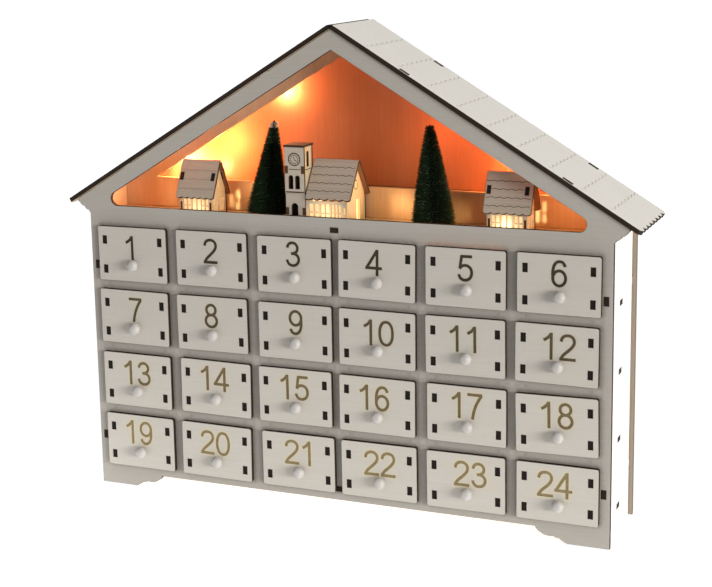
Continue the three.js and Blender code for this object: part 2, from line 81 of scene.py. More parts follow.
COTTAGES = (
    dict(name="cottage_left", x0=-118.3, x1=-93.5, y0=9.0, y1=31.0, eave=209.6, ridge=231.7, lead=-106.0, ov0=1.7, ov1=2.0, back=(-100.6, -96.0, FLOOR + 4.6, FLOOR + 12.2)),
    dict(name="cottage_right", x0=100.6, x1=126.8, y0=9.0, y1=28.0, eave=210.2, ridge=232.9, lead=112.0, ov0=2.0, ov1=3.0, back=(116.8, 120.2, FLOOR + 6.4, FLOOR + 12.0)),
)
NAVE = dict(name="church_nave", x0=-22.2, x1=7.0, y0=5.6, y1=38.2, eave=212.1, ridge=235.4, lead=-8.0)
TOWER = dict(x0=-36.8, x1=-22.7, y0=5.2, y1=19.2, top=246.0)
TREES = (
    dict(name="tree_left", x=-57.7, y=21.5, r=15.3, h=70.2, lean=0.105, bulge=0.95, seed=5, white=0.885),
    dict(name="tree_right", x=60.8, y=21.5, r=15.0, h=70.6, lean=-0.034, bulge=0.85, seed=8, white=2.0),
)
BOX = dict(x0=-48.0, x1=72.0, z0=FLOOR + 0.3, z1=213.0, y0=45.8, y1=67.6)
LEAD_X = (-106.0, -8.0, 47.0, 112.0)
LAMP_X = (-56.5, -146.0, 118.0)
WIRE_R = 0.8
WY = BAFFLE_Y + T + 1.4
cs, sn = math.cos(SLOPE), math.sin(SLOPE)


def roof_line(x):
    return RIDGE_Z - abs(x) * math.tan(SLOPE)


def band_z(x):
    return (BAFFLE_APEX - (BAFFLE_APEX - BAFFLE_SILL) / BAFFLE_X * abs(x) + roof_line(x)) / 2


def column_x(c):
    return COLUMN_X[c]


def row_z(r):
    return ROW_Z[r]


# ------------------------------------------------------------------ camera
def camera():
    f, ppx, ppy = 1543.61, 350.51, 236.36
    yaw, pitch, roll = math.radians(22.84), math.radians(10.94), math.radians(-1.0)
    fwd = Vector((-math.sin(yaw) * math.cos(pitch), math.cos(yaw) * math.cos(pitch), -math.sin(pitch)))
    r = Vector((math.cos(yaw), math.sin(yaw), 0))
    u = r.cross(fwd)
    right = math.cos(roll) * r + math.sin(roll) * u
    up = -math.sin(roll) * r + math.cos(roll) * u
    data = bpy.data.cameras.new("camera")
    data.sensor_fit = "HORIZONTAL"
    data.sensor_width = 36.0
    data.lens = f * 36.0 / 712.0
    data.shift_x = (356.0 - ppx) / 712.0
    data.shift_y = (ppy - 293.5) / 712.0
    data.clip_start, data.clip_end = 0.01, 50.0
    cam = bpy.data.objects.new("camera", data)
    m = Matrix((right, up, -fwd)).transposed().to_4x4()
    m.translation = Vector((391.7, Y0 - 902.7, 379.5)) * MM
    cam.matrix_world = m
    scene.collection.objects.link(cam)
    scene.camera = cam
    return cam


camera()


# ------------------------------------------------------------------ material helpers
class Tree:
    """A short way to write a node material."""

    def __init__(self, name):
        self.mat = bpy.data.materials.new(name)
        self.mat.use_nodes = True
        self.nt = self.mat.node_tree
        self.nt.nodes.clear()
        self.out = self.nt.nodes.new("ShaderNodeOutputMaterial")
        self.bsdf = self.nt.nodes.new("ShaderNodeBsdfPrincipled")
        self.nt.links.new(self.bsdf.outputs[0], self.out.inputs[0])
        self.co = None

    def node(self, kind, **props):
        n = self.nt.nodes.new(kind)
        for k, v in props.items():
            setattr(n, k, v)
        return n

    def put(self, socket, value):
        if isinstance(value, bpy.types.NodeSocket):
            self.nt.links.new(value, socket)
        elif isinstance(value, (tuple, list)):
            socket.default_value = tuple(value) + (1.0,) * (len(socket.default_value) - len(value))
        else:
            socket.default_value = value

    def coords(self):
        if self.co is None:
            self.co = self.node("ShaderNodeTexCoord").outputs["Object"]
        return self.co

    def mapped(self, scale, rotation=(0, 0, 0), location=(0, 0, 0)):
        n = self.node("ShaderNodeMapping")
        self.put(n.inputs["Vector"], self.coords())
        n.inputs["Scale"].default_value = scale
        n.inputs["Rotation"].default_value = rotation
        n.inputs["Location"].default_value = location
        return n.outputs[0]

    def noise(self, vector, scale=1.0, detail=2.0, rough=0.5, distortion=0.0):
        n = self.node("ShaderNodeTexNoise")
        self.put(n.inputs["Vector"], vector)
        n.inputs["Scale"].default_value = scale
        n.inputs["Detail"].default_value = detail
        n.inputs["Roughness"].default_value = rough
        n.inputs["Distortion"].default_value = distortion
        return n.outputs["Fac"]

    def voronoi(self, vector, scale, feature="F1"):
        n = self.node("ShaderNodeTexVoronoi", feature=feature)
        self.put(n.inputs["Vector"], vector)
        n.inputs["Scale"].default_value = scale
        return n.outputs["Distance"]

    def ramp(self, fac, stops, interpolation="LINEAR"):
        n = self.node("ShaderNodeValToRGB")
        self.put(n.inputs[0], fac)
        r = n.color_ramp
        r.interpolation = interpolation
        while len(r.elements) < len(stops):
            r.elements.new(0.5)
        for e, (p, c) in zip(r.elements, stops):
            e.position = p
            e.color = (c, c, c, 1) if isinstance(c, (int, float)) else (*c, 1)
        return n.outputs[0]

    def math(self, op, a, b=0.0, clamp=False):
        n = self.node("ShaderNodeMath", operation=op, use_clamp=clamp)
        self.put(n.inputs[0], a)
        self.put(n.inputs[1], b)
        return n.outputs[0]

    def mix(self, fac, a, b, blend="MIX"):
        n = self.node("ShaderNodeMix", data_type="RGBA", blend_type=blend)
        self.put(n.inputs["Factor"], fac)
        self.put(n.inputs[6], a)
        self.put(n.inputs[7], b)
        return n.outputs[2]

    def attr(self, name):
        return self.node("ShaderNodeAttribute", attribute_name=name).outputs["Fac"]

    def bump(self, height, distance, strength=1.0, normal=None):
        n = self.node("ShaderNodeBump")
        n.inputs["Strength"].default_value = strength
        n.inputs["Distance"].default_value = distance
        self.put(n.inputs["Height"], height)
        if normal is not None:
            self.put(n.inputs["Normal"], normal)
        return n.outputs[0]

    def finish(self, **sockets):
        names = dict(color="Base Color", rough="Roughness", metal="Metallic", normal="Normal", specular="Specular IOR Level",
                     coat="Coat Weight", coat_rough="Coat Roughness", sheen="Sheen Weight", emission="Emission Color",
                     emit="Emission Strength", trans="Transmission Weight", ior="IOR", alpha="Alpha", sss="Subsurface Weight",
                     sheen_rough="Sheen Roughness")
        for k, v in sockets.items():
            self.put(self.bsdf.inputs[names[k]], v)
        return self.mat


SOOT = (0.012, 0.0075, 0.005)
TOAST = (0.20, 0.115, 0.055)


def board(name, color, grain="x", contrast=0.1, wash=0.12, warm=(0.62, 0.47, 0.32), rough=0.72, scorch=0.8, halo=None, streak=0.0, specular=0.25, outside=None, lit=None):
    """Face of a plywood sheet: fine grain along one axis, a cloudy wash of paint, and browning where the laser cut it."""
    t = Tree(name)
    along = {"x": (26, 900, 900), "y": (900, 26, 900), "z": (900, 900, 26)}[grain]
    broad = {"x": (5, 70, 70), "y": (70, 5, 70), "z": (70, 70, 5)}[grain]
    fine = t.noise(t.mapped(along), 1.0, 3.0, 0.6)
    bands = t.noise(t.mapped(broad, location=(0.3, 0.7, 0.2)), 1.0, 3.0, 0.55, 0.6)
    cloud = t.noise(t.coords(), 34.0, 3.0, 0.5)
    speck = t.noise(t.coords(), 900.0, 1.0, 0.5)
    dark = tuple(c * (1 - contrast) * w for c, w in zip(color, (1.0, 0.975, 0.94)))
    light = tuple(min(1.0, c * (1 + contrast * 0.55)) for c in color)
    c = t.mix(t.ramp(fine, [(0.3, 0.0), (0.72, 1.0)]), dark, light)
    c = t.mix(t.math("MULTIPLY", t.ramp(bands, [(0.38, 0.0), (0.68, 1.0)]), min(1.0, contrast * 2.2)), c, tuple(a * (0.80 if streak else 0.90) * w for a, w in zip(color, (1.0, 0.96, 0.90))))
    c = t.mix(t.math("MULTIPLY", t.ramp(cloud, [(0.35, 0.0), (0.75, 1.0)]), wash), c, warm)
    c = t.mix(t.math("MULTIPLY", t.ramp(speck, [(0.66, 0.0), (0.74, 1.0)]), 0.18), c, tuple(a * 0.6 for a in color))
    if streak:
        s = t.noise(t.mapped({"x": (1.2, 30, 30), "y": (30, 1.2, 30), "z": (30, 30, 1.2)}[grain]), 1.0, 4.0, 0.6, 1.2)
        c = t.mix(t.math("MULTIPLY", t.ramp(s, [(0.42, 0.0), (0.66, 1.0)]), streak), c, tuple(a * w for a, w in zip(color, (0.62, 0.48, 0.36))))
    # halo: on the drawer fronts the browning round the engraved numbers, on the house front the painted shade round the
    # drawer fronts
    if halo:
        h = t.attr("halo")
        ragged = t.math("MULTIPLY", h, t.ramp(t.noise(t.coords(), 420.0, 2.0, 0.6), [(0.25, 0.72), (0.75, 1.0)]))
        c = t.mix(ragged, c, halo)
    if outside:     # beyond the side walls and below the attic the sheet keeps the plain ply colour, without the painted orange of the lamp light
        sep = t.node("ShaderNodeSeparateXYZ")
        t.put(sep.inputs[0], t.coords())
        out = t.math("MAXIMUM", t.math("GREATER_THAN", t.math("ABSOLUTE", sep.outputs[0]), outside[0] * MM), t.math("LESS_THAN", sep.outputs[2], ATTIC_Z * MM))
        c = t.mix(out, c, t.mix(fine, tuple(a * 0.9 for a in outside[1]), outside[1]))
    s = t.attr("scorch")
    s = t.math("MULTIPLY", t.math("POWER", s, 1.6), t.ramp(t.noise(t.coords(), 160.0, 2.0, 0.6), [(0.25, 0.55), (0.75, 1.0)]))
    c = t.mix(t.math("MULTIPLY", s, scorch, clamp=True), c, TOAST)
    r = t.ramp(cloud, [(0.2, rough - 0.06), (0.8, min(1.0, rough + 0.08))])
    n = t.bump(fine, 0.00006, 0.5)
    n = t.bump(speck, 0.00004, 0.4, n)
    if lit:         # painted glow: thin ply in front of a lamp is given an emission of the lamp's light, most of it near the lamp
        x, z, rx, rz, tint, strength = lit
        sep = t.node("ShaderNodeSeparateXYZ")
        t.put(sep.inputs[0], t.coords())
        dx = t.math("DIVIDE", t.math("SUBTRACT", sep.outputs[0], x * MM), rx * MM)
        dz = t.math("DIVIDE", t.math("SUBTRACT", sep.outputs[2], z * MM), rz * MM)
        k = t.math("SUBTRACT", 1.0, t.math("ADD", t.math("MULTIPLY", dx, dx), t.math("MULTIPLY", dz, dz)), clamp=True)
        k = t.math("MULTIPLY", k, t.ramp(fine, [(0.3, 0.8), (0.7, 1.0)]))
        t.finish(emission=tint, emit=t.math("MULTIPLY", k, strength))
    return t.finish(color=c, rough=r, normal=n, specular=specular)


def char(name, axis_attr="dp", base=SOOT, edge=(0.050, 0.029, 0.016), glow=1.0, lamp=None):
    """The burnt cut edge of a sheet: the plies still show, and soot is thicker in patches; lamp is the (tint, strength)
    of a painted glow on it, standing in for lamp light.
    """
    t = Tree(name)
    d = t.attr(axis_attr)
    ply = t.ramp(d, [(0.0, 0.9), (0.14, 0.75), (0.30, 0.15), (0.34, 0.5), (0.63, 0.5), (0.68, 0.1), (0.86, 0.7), (1.0, 0.95)])
    patch = t.noise(t.coords(), 210.0, 3.0, 0.6)
    fine = t.noise(t.coords(), 1500.0, 2.0, 0.6)
    k = t.math("MULTIPLY", ply, t.ramp(patch, [(0.3, 0.25), (0.75, 1.0)]))
    c = t.mix(k, base, tuple(a * glow for a in edge))
    c = t.mix(t.math("MULTIPLY", t.ramp(fine, [(0.5, 0.0), (0.8, 1.0)]), 0.2), c, tuple(a * 1.8 for a in edge))
    extra = {}
    if lamp:
        extra = dict(emission=lamp[0], emit=t.math("MULTIPLY", t.ramp(patch, [(0.3, 0.75), (0.75, 1.0)]), lamp[1]))
    return t.finish(color=c, rough=t.ramp(patch, [(0.3, 0.62), (0.8, 0.9)]), normal=t.bump(fine, 0.00010, 0.6), specular=0.2, **extra)


def burnt(name, color, deep, rough=0.85):
    """Floor of an engraved mark."""
    t = Tree(name)
    a = t.noise(t.coords(), 330.0, 3.0, 0.6)
    b = t.noise(t.mapped((120, 1600, 1600)), 1.0, 2.0, 0.5)
    c = t.mix(t.ramp(a, [(0.28, 0.0), (0.78, 1.0)]), deep, color)
    c = t.mix(t.math("MULTIPLY", t.ramp(b, [(0.4, 0.0), (0.7, 1.0)]), 0.35), c, tuple(x * 0.6 for x in deep))
    return t.finish(color=c, rough=rough, normal=t.bump(b, 0.00008, 0.6), specular=0.15)


def raw_edge():
    """Edge of the unpainted back sheet: light plies at the sides, soot where the beam passed across the tabs on the roof."""
    t = Tree("cut_edge_light")
    d = t.attr("dp")
    ply_ = t.ramp(d, [(0.0, 0.8), (0.30, 0.9), (0.34, 0.35), (0.64, 0.35), (0.68, 0.95), (1.0, 0.8)])
    n = t.noise(t.mapped((260, 260, 60)), 1.0, 3.0, 0.6)
    c = t.mix(t.math("MULTIPLY", ply_, t.ramp(n, [(0.25, 0.55), (0.75, 1.0)])), (0.085, 0.074, 0.058), (0.185, 0.162, 0.128))
    sep = t.node("ShaderNodeSeparateXYZ")
    geo = t.node("ShaderNodeNewGeometry")
    t.put(sep.inputs[0], geo.outputs["Normal"])
    c = t.mix(t.ramp(sep.outputs[2], [(0.35, 0.0), (0.6, 1.0)]), c, (0.035, 0.024, 0.016))
    return t.finish(color=c, rough=0.85, normal=t.bump(n, 0.0001, 0.5), specular=0.15)


EDGE = char("burnt_edge")
EDGE_RAW = raw_edge()
ROOF_UNDER = board("roof_underside", (0.60, 0.46, 0.32), "x", 0.08, 0.2, warm=(0.56, 0.38, 0.22))
# the panel's halo colour is the painted shade round the drawer fronts
PANEL = board("panel_wash", (0.425, 0.400, 0.364), "x", 0.035, 0.10, warm=(0.44, 0.40, 0.345), scorch=0.7, halo=(0.100, 0.076, 0.056))
# the rows get a little lighter from top to bottom: painted light, for the brighter light near the floor
DRAWER_COLORS = ((0.522, 0.496, 0.453), (0.530, 0.504, 0.458), (0.556, 0.528, 0.480), (0.555, 0.529, 0.482))
HALOS = ((0.51, 0.46, 0.37), (0.545, 0.48, 0.36), (0.60, 0.515, 0.355), (0.64, 0.545, 0.35))
DRAWERS = [board("drawer_wash_%d" % (i + 1), c, "x", 0.022, 0.20, warm=(0.56, 0.505, 0.43), halo=HALOS[i], scorch=0.75, specular=0.3) for i, c in enumerate(DRAWER_COLORS)]
DIGITS = [burnt("engraved_number_%d" % (i + 1), c, d) for i, (c, d) in enumerate((
    ((0.070, 0.052, 0.032), (0.050, 0.037, 0.023)), ((0.130, 0.100, 0.060), (0.095, 0.073, 0.043)),
    ((0.230, 0.175, 0.090), (0.170, 0.130, 0.066)), ((0.330, 0.260, 0.135), (0.250, 0.195, 0.100))))]
WALL = board("wall_white", (0.81, 0.79, 0.755), "z", 0.05, 0.10, warm=(0.74, 0.67, 0.56))
ROOF = board("roof_white", (0.825, 0.802, 0.750), "x", 0.025, 0.14, warm=(0.72, 0.665, 0.575), scorch=0.5)
SHINGLE = burnt("shingle_line", (0.60, 0.545, 0.455), (0.46, 0.40, 0.315))
RAW = board("back_ply", (0.70, 0.50, 0.295), "z", 0.14, 0.22, warm=(0.62, 0.40, 0.20), streak=0.5)
# inner face of the back sheet: ply with the orange of the lamps' light painted into its colour
GLOWING = board("inner_face_painted_lamp_light", (0.555, 0.222, 0.110), "z", 0.07, 0.3, warm=(0.47, 0.175, 0.07), streak=0.2, scorch=0.12, outside=(181.0, (0.31, 0.252, 0.190)))
INNER = board("inner_ply", (0.70, 0.49, 0.285), "x", 0.12, 0.2, warm=(0.60, 0.38, 0.19))
INNER_Z = board("inner_ply_upright", (0.72, 0.50, 0.28), "z", 0.12, 0.2, warm=(0.60, 0.38, 0.19), streak=0.25)
BAFFLE = board("baffle_ply", (0.55, 0.385, 0.25), "z", 0.08, 0.2, warm=(0.50, 0.33, 0.20), streak=0.2)
TRAY = board("tray_ply", (0.74, 0.61, 0.44), "y", 0.10, 0.18, warm=(0.68, 0.52, 0.34))
SCENE = board("village_ply", (0.50, 0.435, 0.365), "x", 0.08, 0.22, warm=(0.46, 0.36, 0.26), scorch=0.9)
SCENE_ROOF = board("village_roof", (0.480, 0.408, 0.335), "x", 0.14, 0.25, warm=(0.40, 0.32, 0.24), scorch=0.9)
# right-facing boards: the village ply made yellower, painted warm light from the lamps
SCENE_SIDE_PAINTED_LIGHT = board("village_ply_right_painted_light", (0.470, 0.385, 0.232), "x", 0.08, 0.22, warm=(0.50, 0.38, 0.20), scorch=0.9)
SCENE_LIT = [board("village_ply_lit_%d" % (i + 1), (0.50, 0.435, 0.345), "x", 0.08, 0.22, warm=(0.46, 0.36, 0.26), scorch=0.15, lit=l) for i, l in enumerate((
    (-105.0, 201.0, 13.5, 13.0, (1.0, 0.58, 0.23), 0.80), (112.5, 199.0, 14.0, 14.0, (1.0, 0.60, 0.24), 0.85), (-8.0, 201.0, 17.0, 13.5, (1.0, 0.58, 0.23), 0.85)))]
SCENE_LINE = burnt("village_line", (0.13, 0.085, 0.050), (0.055, 0.034, 0.020))
# roof undersides, the cottages' back slopes and the tower cap: painted shade, tinted by the lamps' orange light
SCENE_PAINTED_SHADE = board("village_ply_painted_shade", (0.215, 0.098, 0.050), "x", 0.12, 0.25, warm=(0.17, 0.075, 0.036), scorch=0.6)
EDGE_SCENE = char("village_edge", base=(0.022, 0.013, 0.008), edge=(0.075, 0.042, 0.022))
# cut edges by the lamps: lighter copies of the burnt edge with a painted glow for the lamps' light on the window jambs
EDGE_LIT = char("village_edge_lit", base=(0.20, 0.105, 0.045), edge=(0.38, 0.22, 0.10), lamp=((1.0, 0.62, 0.26), 0.40))
EDGE_COTTAGE = char("cottage_window_edge_painted_glow", base=(0.20, 0.105, 0.045), edge=(0.38, 0.22, 0.10), lamp=((1.0, 0.66, 0.30), 0.55))
EDGE_CHURCH = char("church_window_edge_painted_glow", base=(0.20, 0.105, 0.045), edge=(0.38, 0.22, 0.10), lamp=((1.0, 0.80, 0.26), 0.80))
# the baffle's cut edge made pale: painted light on its lit top edge
EDGE_BAFFLE_PAINTED_LIGHT = char("baffle_edge_painted_light", base=(0.42, 0.28, 0.16), edge=(0.62, 0.44, 0.27))
TAB_END = char("tab_end", base=(0.007, 0.005, 0.004), edge=(0.024, 0.015, 0.010))
TAB_BROWN = char("tab_end_small", base=(0.040, 0.020, 0.010), edge=(0.12, 0.062, 0.030))
SCENE_FAINT = burnt("village_line_faint", (0.33, 0.27, 0.215), (0.26, 0.21, 0.165))


# ------------------------------------------------------------------ flat outlines
def area2(loop):
    return sum(a[0] * b[1] - b[0] * a[1] for a, b in zip(loop, loop[1:] + loop[:1]))


def oriented(loop, ccw=True):
    loop = [tuple(map(float, p)) for p in loop]
    return loop if (area2(loop) > 0) == ccw else loop[::-1]


def rect(x0, y0, x1, y1):
    return [(x0, y0), (x1, y0), (x1, y1), (x0, y1)]


def round_rect(x0, y0, x1, y1, r, n=5):
    pts = []
    for cx, cy, a in ((x1 - r, y0 + r, -90), (x1 - r, y1 - r, 0), (x0 + r, y1 - r, 90), (x0 + r, y0 + r, 180)):
        for i in range(n + 1):
            t = math.radians(a + 90 * i / n)
            pts.append((cx + r * math.cos(t), cy + r * math.sin(t)))
    return pts


def arch(x0, y0, x1, y1, n=8):
    """A window or door with a round head."""
    r = (x1 - x0) / 2
    pts = [(x0, y0), (x1, y0)]
    return pts + [((x0 + x1) / 2 + r * math.cos(math.pi * i / n), y1 - r + r * math.sin(math.pi * i / n)) for i in range(n + 1)]


def circle(cx, cy, r, n=20):
    return [(cx + r * math.cos(2 * math.pi * i / n), cy + r * math.sin(2 * math.pi * i / n)) for i in range(n)]


def inset(loop, d):
    """The loop moved by d to its left, which is into the material."""
    n, out = len(loop), []
    for i in range(n):
        a, p, b = Vector(loop[i - 1]), Vector(loop[i]), Vector(loop[(i + 1) % n])
        e1, e2 = p - a, b - p
        if e1.length < 1e-6 or e2.length < 1e-6:
            continue
        e1.normalize(), e2.normalize()
        n1, n2 = Vector((-e1.y, e1.x)), Vector((-e2.y, e2.x))
        m = (n1 + n2) / max(0.35, 1 + n1.dot(n2))
        q = p + m * d
        out.append((q.x, q.y))
    return out


def ribbon(points, w, closed=False):
    """Outline of a line of width w along the points; w may be a list, one number for each point."""
    n = len(points)
    ws = [w] * n if isinstance(w, (int, float)) else list(w)
    left, right = [], []
    for i, p in enumerate(points):
        a = points[i - 1] if (i or closed) else p
        b = points[(i + 1) % n] if (i < n - 1 or closed) else p
        d = Vector((b[0] - a[0], b[1] - a[1])).normalized()
        h = ws[i] / 2
        left.append((p[0] - d.y * h, p[1] + d.x * h))
        right.append((p[0] + d.y * h, p[1] - d.x * h))
    return [left, right] if closed else [left + right[::-1]]


def inside(pts, loops):
    res = np.zeros(len(pts), bool)
    for loop in loops:
        a = np.array(loop)
        b = np.roll(a, -1, 0)
        y = pts[:, 1][:, None]
        cross = (a[:, 1] > y) != (b[:, 1] > y)
        dy = b[:, 1] - a[:, 1]
        dy[dy == 0] = 1e-30
        xs = (b[:, 0] - a[:, 0]) * (y - a[:, 1]) / dy + a[:, 0]
        res ^= ((cross & (pts[:, 0][:, None] < xs)).sum(1) % 2) == 1
    return res


def distance(pts, loops):
    """Distance from each point to the nearest of the loops' edges."""
    a = np.concatenate([np.array(l) for l in loops])
    b = np.concatenate([np.roll(np.array(l), -1, 0) for l in loops])
    ab = b - a
    ll = np.maximum((ab ** 2).sum(1), 1e-12)
    best = np.full(len(pts), 1e9)
    for s in range(0, len(pts), 400):
        p = pts[s:s + 400][:, None, :]
        t = np.clip(((p - a) * ab).sum(2) / ll, 0, 1)
        q = a + t[:, :, None] * ab
        best[s:s + 400] = np.sqrt(((p - q) ** 2).sum(2)).min(1)
    return best


# ------------------------------------------------------------------ sheets
FRONT = lambda y: (Vector((0, Y0 + y, 0)), Vector((1, 0, 0)), Vector((0, 0, 1)), Vector((0, 1, 0)))      # face towards -Y, drawn in x, z
REAR = lambda y: (Vector((0, Y0 + y, 0)), Vector((-1, 0, 0)), Vector((0, 0, 1)), Vector((0, -1, 0)))     # face towards +Y, drawn in -x, z
RIGHT = lambda x: (Vector((x, Y0, 0)), Vector((0, 1, 0)), Vector((0, 0, 1)), Vector((-1, 0, 0)))         # face towards +X, drawn in y, z
LEFT = lambda x: (Vector((x, Y0, 0)), Vector((0, -1, 0)), Vector((0, 0, 1)), Vector((1, 0, 0)))          # face towards -X, drawn in -y, z
TOP = lambda z: (Vector((0, Y0, z)), Vector((1, 0, 0)), Vector((0, 1, 0)), Vector((0, 0, -1)))           # face upwards, drawn in x, y


def link(name, mesh, body="house"):
    o = bpy.data.objects.new(name, mesh)
    scene.collection.objects.link(o)
    if body:
        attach(o, body)
    return o


def ply(name, place, outer, holes=(), t=T, mats=None, engrave=(), extra=(), halo=None, burn=0.45, chamfer=0.12, body="house", slot=None, smooth_back=True):
    """A sheet cut by laser: outline and holes in the sheet's own plane, engraved marks with a real depth, a slightly
    eased rim, and attributes for the browning near cuts (scorch), the browning near marks or the painted shade round
    the drawer fronts (halo) and the depth into the sheet (dp).
    mats is face, edge, engraved floor, back face."""
    rim = [oriented(outer, True)] + [oriented(h, False) for h in holes]
    rings = [inset(l, chamfer) for l in rim]
    if burn:
        rings += [inset(l, burn) for l in rim]
    marks = [(list(map(oriented, loops)), depth) for loops, depth in engrave]

    def triangulate(loops, points):
        co, ed = [], []
        for l in loops:
            k = len(co)
            co += [Vector(p) for p in l]
            ed += [(k + i, k + (i + 1) % len(l)) for i in range(len(l))]
        co += [Vector(p) for p in points]
        v, _, f, *_ = delaunay_2d_cdt(co, ed, [], 0, 1e-5)
        v = np.array([(p.x, p.y) for p in v])
        f = np.array([g for g in f if len(g) == 3])
        c = v[f].mean(1)
        keep = inside(c, rim)
        return v, f[keep], c[keep]

    v, f, c = triangulate(rim + rings + [l for m in marks for l in m[0]], extra)
    level = np.zeros(len(f), int)
    for i, (loops, depth) in enumerate(marks):
        level[inside(c, loops)] = i + 1
    depths = [0.0] + [m[1] for m in marks]
    dist = distance(v, rim)
    cdist = distance(c, rim)
    scorch = np.clip(1 - dist / burn, 0, 1) if burn else np.zeros(len(v))
    glow = halo(v) if halo else np.zeros(len(v))
    cross2 = lambda p, q: p[:, 0] * q[:, 1] - p[:, 1] * q[:, 0]
    flip = cross2(v[f[:, 1]] - v[f[:, 0]], v[f[:, 2]] - v[f[:, 0]]) < 0
    f[flip] = f[flip][:, ::-1]

    verts, att, ids, faces, slots = [], [], {}, [], []

    def vid(i, lev, back=False):
        key = (int(i), lev, back)
        if key not in ids:
            ids[key] = len(verts)
            on_rim = dist[i] < 2e-3
            d = (t - (chamfer if on_rim else 0)) if back else (depths[lev] + (chamfer if on_rim and not lev else 0))
            verts.append((v[i][0], v[i][1], d))
            att.append((scorch[i], 0.0 if back else glow[i], d / t))
        return ids[key]

    edges = {}
    for k, tri in enumerate(f):
        faces.append([vid(i, level[k]) for i in tri])
        slots.append(2 if level[k] else (1 if cdist[k] < chamfer * 0.9 else 0))
        for a, b in ((tri[0], tri[1]), (tri[1], tri[2]), (tri[2], tri[0])):
            edges[(int(a), int(b))] = k
    rim_edges = []
    for (a, b), k in edges.items():
        o = edges.get((b, a))
        if o is None:
            rim_edges.append((a, b, level[k]))
        elif depths[level[o]] > depths[level[k]]:
            la, lb = level[k], level[o]
            faces.append([vid(a, la), vid(a, lb), vid(b, lb), vid(b, la)])
            slots.append(2)
    # the back face, without the marks
    v2, f2, c2 = triangulate(rim + [inset(l, chamfer) for l in rim], [])
    flip2 = cross2(v2[f2[:, 1]] - v2[f2[:, 0]], v2[f2[:, 2]] - v2[f2[:, 0]]) < 0
    f2[flip2] = f2[flip2][:, ::-1]
    dist2, cdist2 = distance(v2, rim), distance(c2, rim)
    back_at, back_ids = {}, {}

    def bid(i):
        if i not in back_ids:
            on = dist2[i] < 2e-3
            back_ids[i] = len(verts)
            verts.append((v2[i][0], v2[i][1], t - (chamfer if on else 0)))
            att.append((1.0 if on else 0.0, 0.0, 1.0))
            back_at[(round(v2[i][0], 3), round(v2[i][1], 3))] = back_ids[i]
        return back_ids[i]

    for k, tri in enumerate(f2):
        faces.append([bid(int(i)) for i in tri][::-1])
        slots.append(1 if cdist2[k] < chamfer * 0.9 else 3)
    for a, b, la in rim_edges:
        pa, pb = (back_at.get((round(v[i][0], 3), round(v[i][1], 3))) for i in (a, b))
        if pa is None or pb is None:
            pa, pb = vid(a, la, True), vid(b, la, True)
        faces.append([vid(a, la), pa, pb, vid(b, la)])
        slots.append(1)

    o, U, V, D = place
    co = [tuple((o + U * p[0] + V * p[1] + D * p[2]) * MM) for p in verts]
    me = bpy.data.meshes.new(name)
    me.from_pydata(co, [], faces)
    me.polygons.foreach_set("material_index", slots)
    for j, key in enumerate(("scorch", "halo", "dp")):
        a = me.attributes.new(key, "FLOAT", "POINT")
        a.data.foreach_set("value", np.array([x[j] for x in att], np.float32))
    mats = list(mats or (PANEL, EDGE))
    while len(mats) < 3:
        mats.append(mats[1])
    if len(mats) < 4:
        mats.append(mats[0])
    for m in mats:
        me.materials.append(m)
    me.validate()
    ob = link(name, me, body)
    return ob


# ------------------------------------------------------------------ numbers
def bez(p0, p1, p2, p3, n=10):
    out = []
    for i in range(n + 1):
        t = i / n
        a, b, c, d = (1 - t) ** 3, 3 * t * (1 - t) ** 2, 3 * t * t * (1 - t), t ** 3
        out.append((a * p0[0] + b * p1[0] + c * p2[0] + d * p3[0], a * p0[1] + b * p1[1] + c * p2[1] + d * p3[1]))
    return out


def path(*parts):
    out = []
    for p in parts:
        p = bez(*p) if len(p) == 4 and all(isinstance(q, tuple) for q in p) else list(p)
        out += p if not out else p[1:]
    return out


def ellipse(cx, cy, rx, ry, power=2.0, n=40):
    pts = []
    for i in range(n + 1):
        t = 2 * math.pi * i / n
        c, s = math.cos(t), math.sin(t)
        pts.append((cx + rx * math.copysign(abs(c) ** (2 / power), c), cy + ry * math.copysign(abs(s) ** (2 / power), s)))
    return pts


